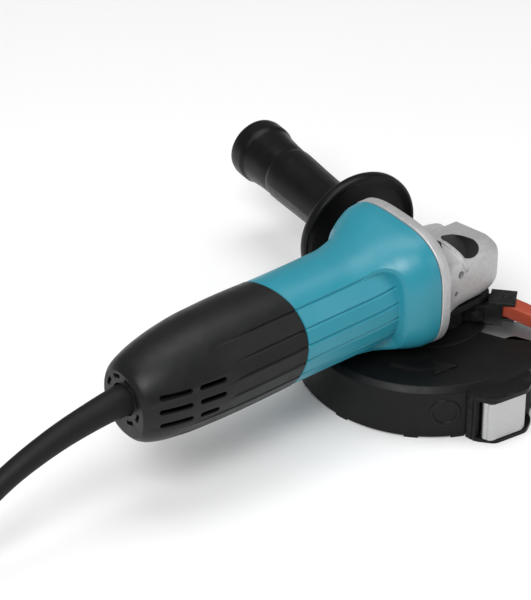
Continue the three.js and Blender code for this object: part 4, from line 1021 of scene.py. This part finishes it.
def clamp_lever():
    """The lever's arm, with a thumb scoop near its tip."""
    x, y = LEVER_PIVOT_REACH * math.cos(LEVER_PIVOT_TURN), LEVER_PIVOT_REACH * math.sin(LEVER_PIVOT_TURN)
    place = Matrix.Translation(Vector((x, y, 0))) @ Matrix.Rotation(LEVER_TURN, 4, "Z")
    outline = arc(5, math.radians(60), math.radians(300), 18)
    outline += [(8, -4.3), (33, -4.3), (36, -2.6), (36, 0.4)]
    outline += arc(9, math.radians(-75), math.radians(-135), 8, (33.4, 9.2))
    outline += [(10, 4.3)]
    piece = prism("clamp_lever_arm", outline, *LEVER_RUN, place)
    soften(piece, LEVER_EDGE, 3)
    settle(piece)
    cut(piece, rod("pin_hole", LEVER_BORE, *LEVER_CUT, place, SMALL_STEPS))
    return dress(piece, RED, "lever", "red_plastic", "clamp_lever")


# ---- side handle --------------------------------------------------------------------------
def handle_flats(height, angle):
    """Shallow flats round the grip between the flange and the waist."""
    off = (angle * HANDLE_SIDES / TURN) % 1 - 0.5
    flat = 1 - math.cos(math.pi / HANDLE_SIDES) / math.cos(off * TURN / HANDLE_SIDES)
    return band(HANDLE_BAND, height) * HANDLE_RADIUS * flat * HANDLE_FLATNESS


def side_handle():
    piece = turned("side_handle_moulding", HANDLE_PROFILE, HANDLE_STEPS, handle_place(), handle_flats)
    cut(piece, rod("stud_room", STUD_RADIUS, *HANDLE_BORE_CUT, handle_place()))
    return dress(piece, GRIP, "tool", "black_plastic", "side_handle_grip")


# ---- cord ---------------------------------------------------------------------------------
def curve_through(points, steps):
    """Points along a smooth line through the given ones."""
    found = []
    for i in range(len(points) - 1):
        before = Vector(points[max(i - 1, 0)])
        a, b = Vector(points[i]), Vector(points[i + 1])
        after = Vector(points[min(i + 2, len(points) - 1)])
        for k in range(steps):
            t = k / steps
            square, cube = 2 * before - 5 * a + 4 * b - after, 3 * a - before - 3 * b + after
            found.append(0.5 * (2 * a + (b - before) * t + square * t * t + cube * t ** 3))
    return found + [Vector(points[-1])]


def strain_relief():
    """The tapered boot, with a root flange inside the cover and a rolled lip at its tip."""
    line = curve_through(BOOT_ROUTE, 14)
    rings = []
    for i, spot in enumerate(line):
        t = i / (len(line) - 1)
        ahead = (line[min(i + 1, len(line) - 1)] - line[max(i - 1, 0)]).normalized()
        aside = Vector((0, 1, 0))
        rise = ahead.cross(aside)
        radius = BOOT_TIP + BOOT_SWELL * (1 - t) ** BOOT_TAPER - BOOT_LIP * smooth(BOOT_LIP_FROM, 1, t)
        ring = []
        for k in range(BOOT_STEPS):
            angle = TURN * k / BOOT_STEPS
            ring.append(at(*(spot + (aside * math.cos(angle) + rise * math.sin(angle)) * radius)))
        rings.append(ring)
    piece = skin("strain_relief_boot", rings)
    root = rod("root", BOOT_ROOT, *BOOT_ROOT_RUN, ALONG_BARREL)
    add(piece, root, rod("neck", BOOT_NECK, *BOOT_NECK_RUN, ALONG_BARREL))
    return dress(piece, RUBBER, "tool", "black_rubber", "strain_relief")


def coil_point(turned_by):
    """A point of the coil, two turns wide and four high, with smooth staggered steps between places."""
    place = int(turned_by / COIL_PERIOD)
    local = turned_by - place * COIL_PERIOD
    step = smooth(COIL_PERIOD - COIL_SHIFT / 2, COIL_PERIOD + COIL_SHIFT / 2, local)
    if local < COIL_SHIFT / 2 and place > 0:
        place, step = place - 1, smooth(-COIL_SHIFT / 2, COIL_SHIFT / 2, local)

    def spot(number):
        row, column = divmod(number, 2)
        if row % 2:
            column = 1 - column
        return COIL_RADII[column], FLOOR_Z + CORD_DIAMETER * (row + 0.5)

    (radius, height), (next_radius, next_height) = spot(place), spot(place + 1)
    angle = -math.pi / 2 - turned_by
    reach = mix(radius, next_radius, step)
    x, y = COIL_CENTRE[0] + reach * math.cos(angle), COIL_CENTRE[1] + reach * math.sin(angle)
    return Vector((x, y, mix(height, next_height, step)))


def run_to_plug(start):
    """Points from the end of the coil to where the cord enters the plug."""
    low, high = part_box("plug_body")
    entry = Vector((low.x, (low.y + high.y) / 2, (low.z + high.z) / 2))
    points = []
    for i in range(1, PLUG_RUN_STEPS + 1):
        t = i / PLUG_RUN_STEPS
        aside, rise = mix(start.y, entry.y, smooth(0, 1, t)), mix(start.z, entry.z, smooth(0, 1, t))
        points.append(Vector((mix(start.x, entry.x, t), aside, rise)))
    return points


def cord():
    points = [Vector(p) for p in CORD_ROUTE]
    total = TURN * COIL_TURNS
    count = round(COIL_TURNS * COIL_POINTS_PER_TURN)
    points += [coil_point(total * i / count) for i in range(count + 1)]
    points += run_to_plug(points[-1])
    line = bpy.data.curves.new("cord", "CURVE")
    line.dimensions = "3D"
    line.bevel_depth = CORD_DIAMETER / 2
    line.bevel_resolution = 6
    line.use_fill_caps = True
    spline = line.splines.new("POLY")
    spline.points.add(len(points) - 1)
    for spot, point in zip(spline.points, points):
        spot.co = (*point, 1)
    line.materials.append(RUBBER)
    piece = bpy.data.objects.new("cord", line)
    bpy.context.scene.collection.objects.link(piece)
    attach(piece, "tool")
    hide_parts("power_cord", "cord_coil")
    plug()
    return piece


def plug():
    low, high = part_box("plug_body")
    entry = (low.x / MM, (low.y + high.y) / 2 / MM, ((low.z + high.z) / 2 - AXIS_HEIGHT) / MM)
    place = along((1, 0, 0), entry)
    profile = [
        (0, 0), (5.4, 0), (6, 0.6), (6.2, 5), (7, 12), (9.6, 17), (13, 22), (15.8, 26.4), (16.8, 30),
        (17, 32), (17, 42.6), (16.6, 43.6), (15.8, 44), (0, 44),
    ]
    piece = turned("plug_moulding", profile, 64, place)
    for side in (1, -1):
        hole = place @ Matrix.Translation(Vector((0, side * PLUG_PIN_SPREAD, 0)))
        cut(piece, rod("pin_hole", PLUG_PIN_ROOM, *PLUG_PIN_CUT, hole, SMALL_STEPS))
    return dress(piece, GRIP, "tool", "black_plastic", "plug_body")


# ---- the CAD pieces that stay -------------------------------------------------------------
def keep_cad_nodes():
    """Every CAD piece that still shows gets its slot's material and softened edges."""
    slots = {row["node"]: row["material_slot"] for row in frame["record"]["subparts"]}
    for name, piece in frame["nodes"].items():
        if piece.hide_render:
            continue
        look = DARK_STEEL if name in BLACKED else SLOT_LOOKS[slots[name]]
        piece.data.materials.clear()
        piece.data.materials.append(look)
        soften(piece, CAD_EDGE, 2)


# ---- camera, light and floor --------------------------------------------------------------
def camera():
    turn, rise = math.radians(CAMERA_TURN), math.radians(CAMERA_RISE)
    back = Vector((math.sin(turn) * math.cos(rise), -math.cos(turn) * math.cos(rise), math.sin(rise)))
    data = bpy.data.cameras.new("camera")
    data.lens = CAMERA_LENS
    data.shift_x, data.shift_y = CAMERA_SHIFT
    eye = bpy.data.objects.new("camera", data)
    eye.location = Vector(CAMERA_TARGET) + back * CAMERA_DISTANCE
    eye.rotation_euler = back.to_track_quat("Z", "Y").to_euler()
    bpy.context.scene.collection.objects.link(eye)
    bpy.context.scene.camera = eye


def area_light(name, spot, aim, size, power):
    data = bpy.data.lights.new(name, "AREA")
    data.shape = "RECTANGLE"
    data.size, data.size_y = size
    data.energy = power
    light = bpy.data.objects.new(name, data)
    light.location = spot
    light.rotation_euler = (Vector(spot) - Vector(aim)).to_track_quat("Z", "Y").to_euler()
    bpy.context.scene.collection.objects.link(light)


def studio():
    world = bpy.data.worlds.new("studio")
    world.use_nodes = True
    sky = world.node_tree.nodes["Background"]
    sky.inputs["Color"].default_value = (1, 1, 1, 1)
    sky.inputs["Strength"].default_value = SKY_STRENGTH
    bpy.context.scene.world = world
    bpy.context.scene.view_settings.view_transform = "Standard"
    for name, spot, size, power in LIGHTS:
        area_light(name, spot, LIGHTS_AIM, size, power)
    corners = [
        (x * FLOOR_HALF, y * FLOOR_HALF, FLOOR_Z) for x, y in ((-1, -1), (1, -1), (1, 1), (-1, 1))
    ]
    floor = new_piece("floor", corners, [(0, 1, 2, 3)])
    floor.data.materials.append(WHITE)


camera()
studio()
cord()
strain_relief()
motor_housing()
rear_cover()
gear_housing()
wheel_guard()
guard_cover()
cover_clip()
guard_collar()
clamp_lever()
side_handle()
keep_cad_nodes()
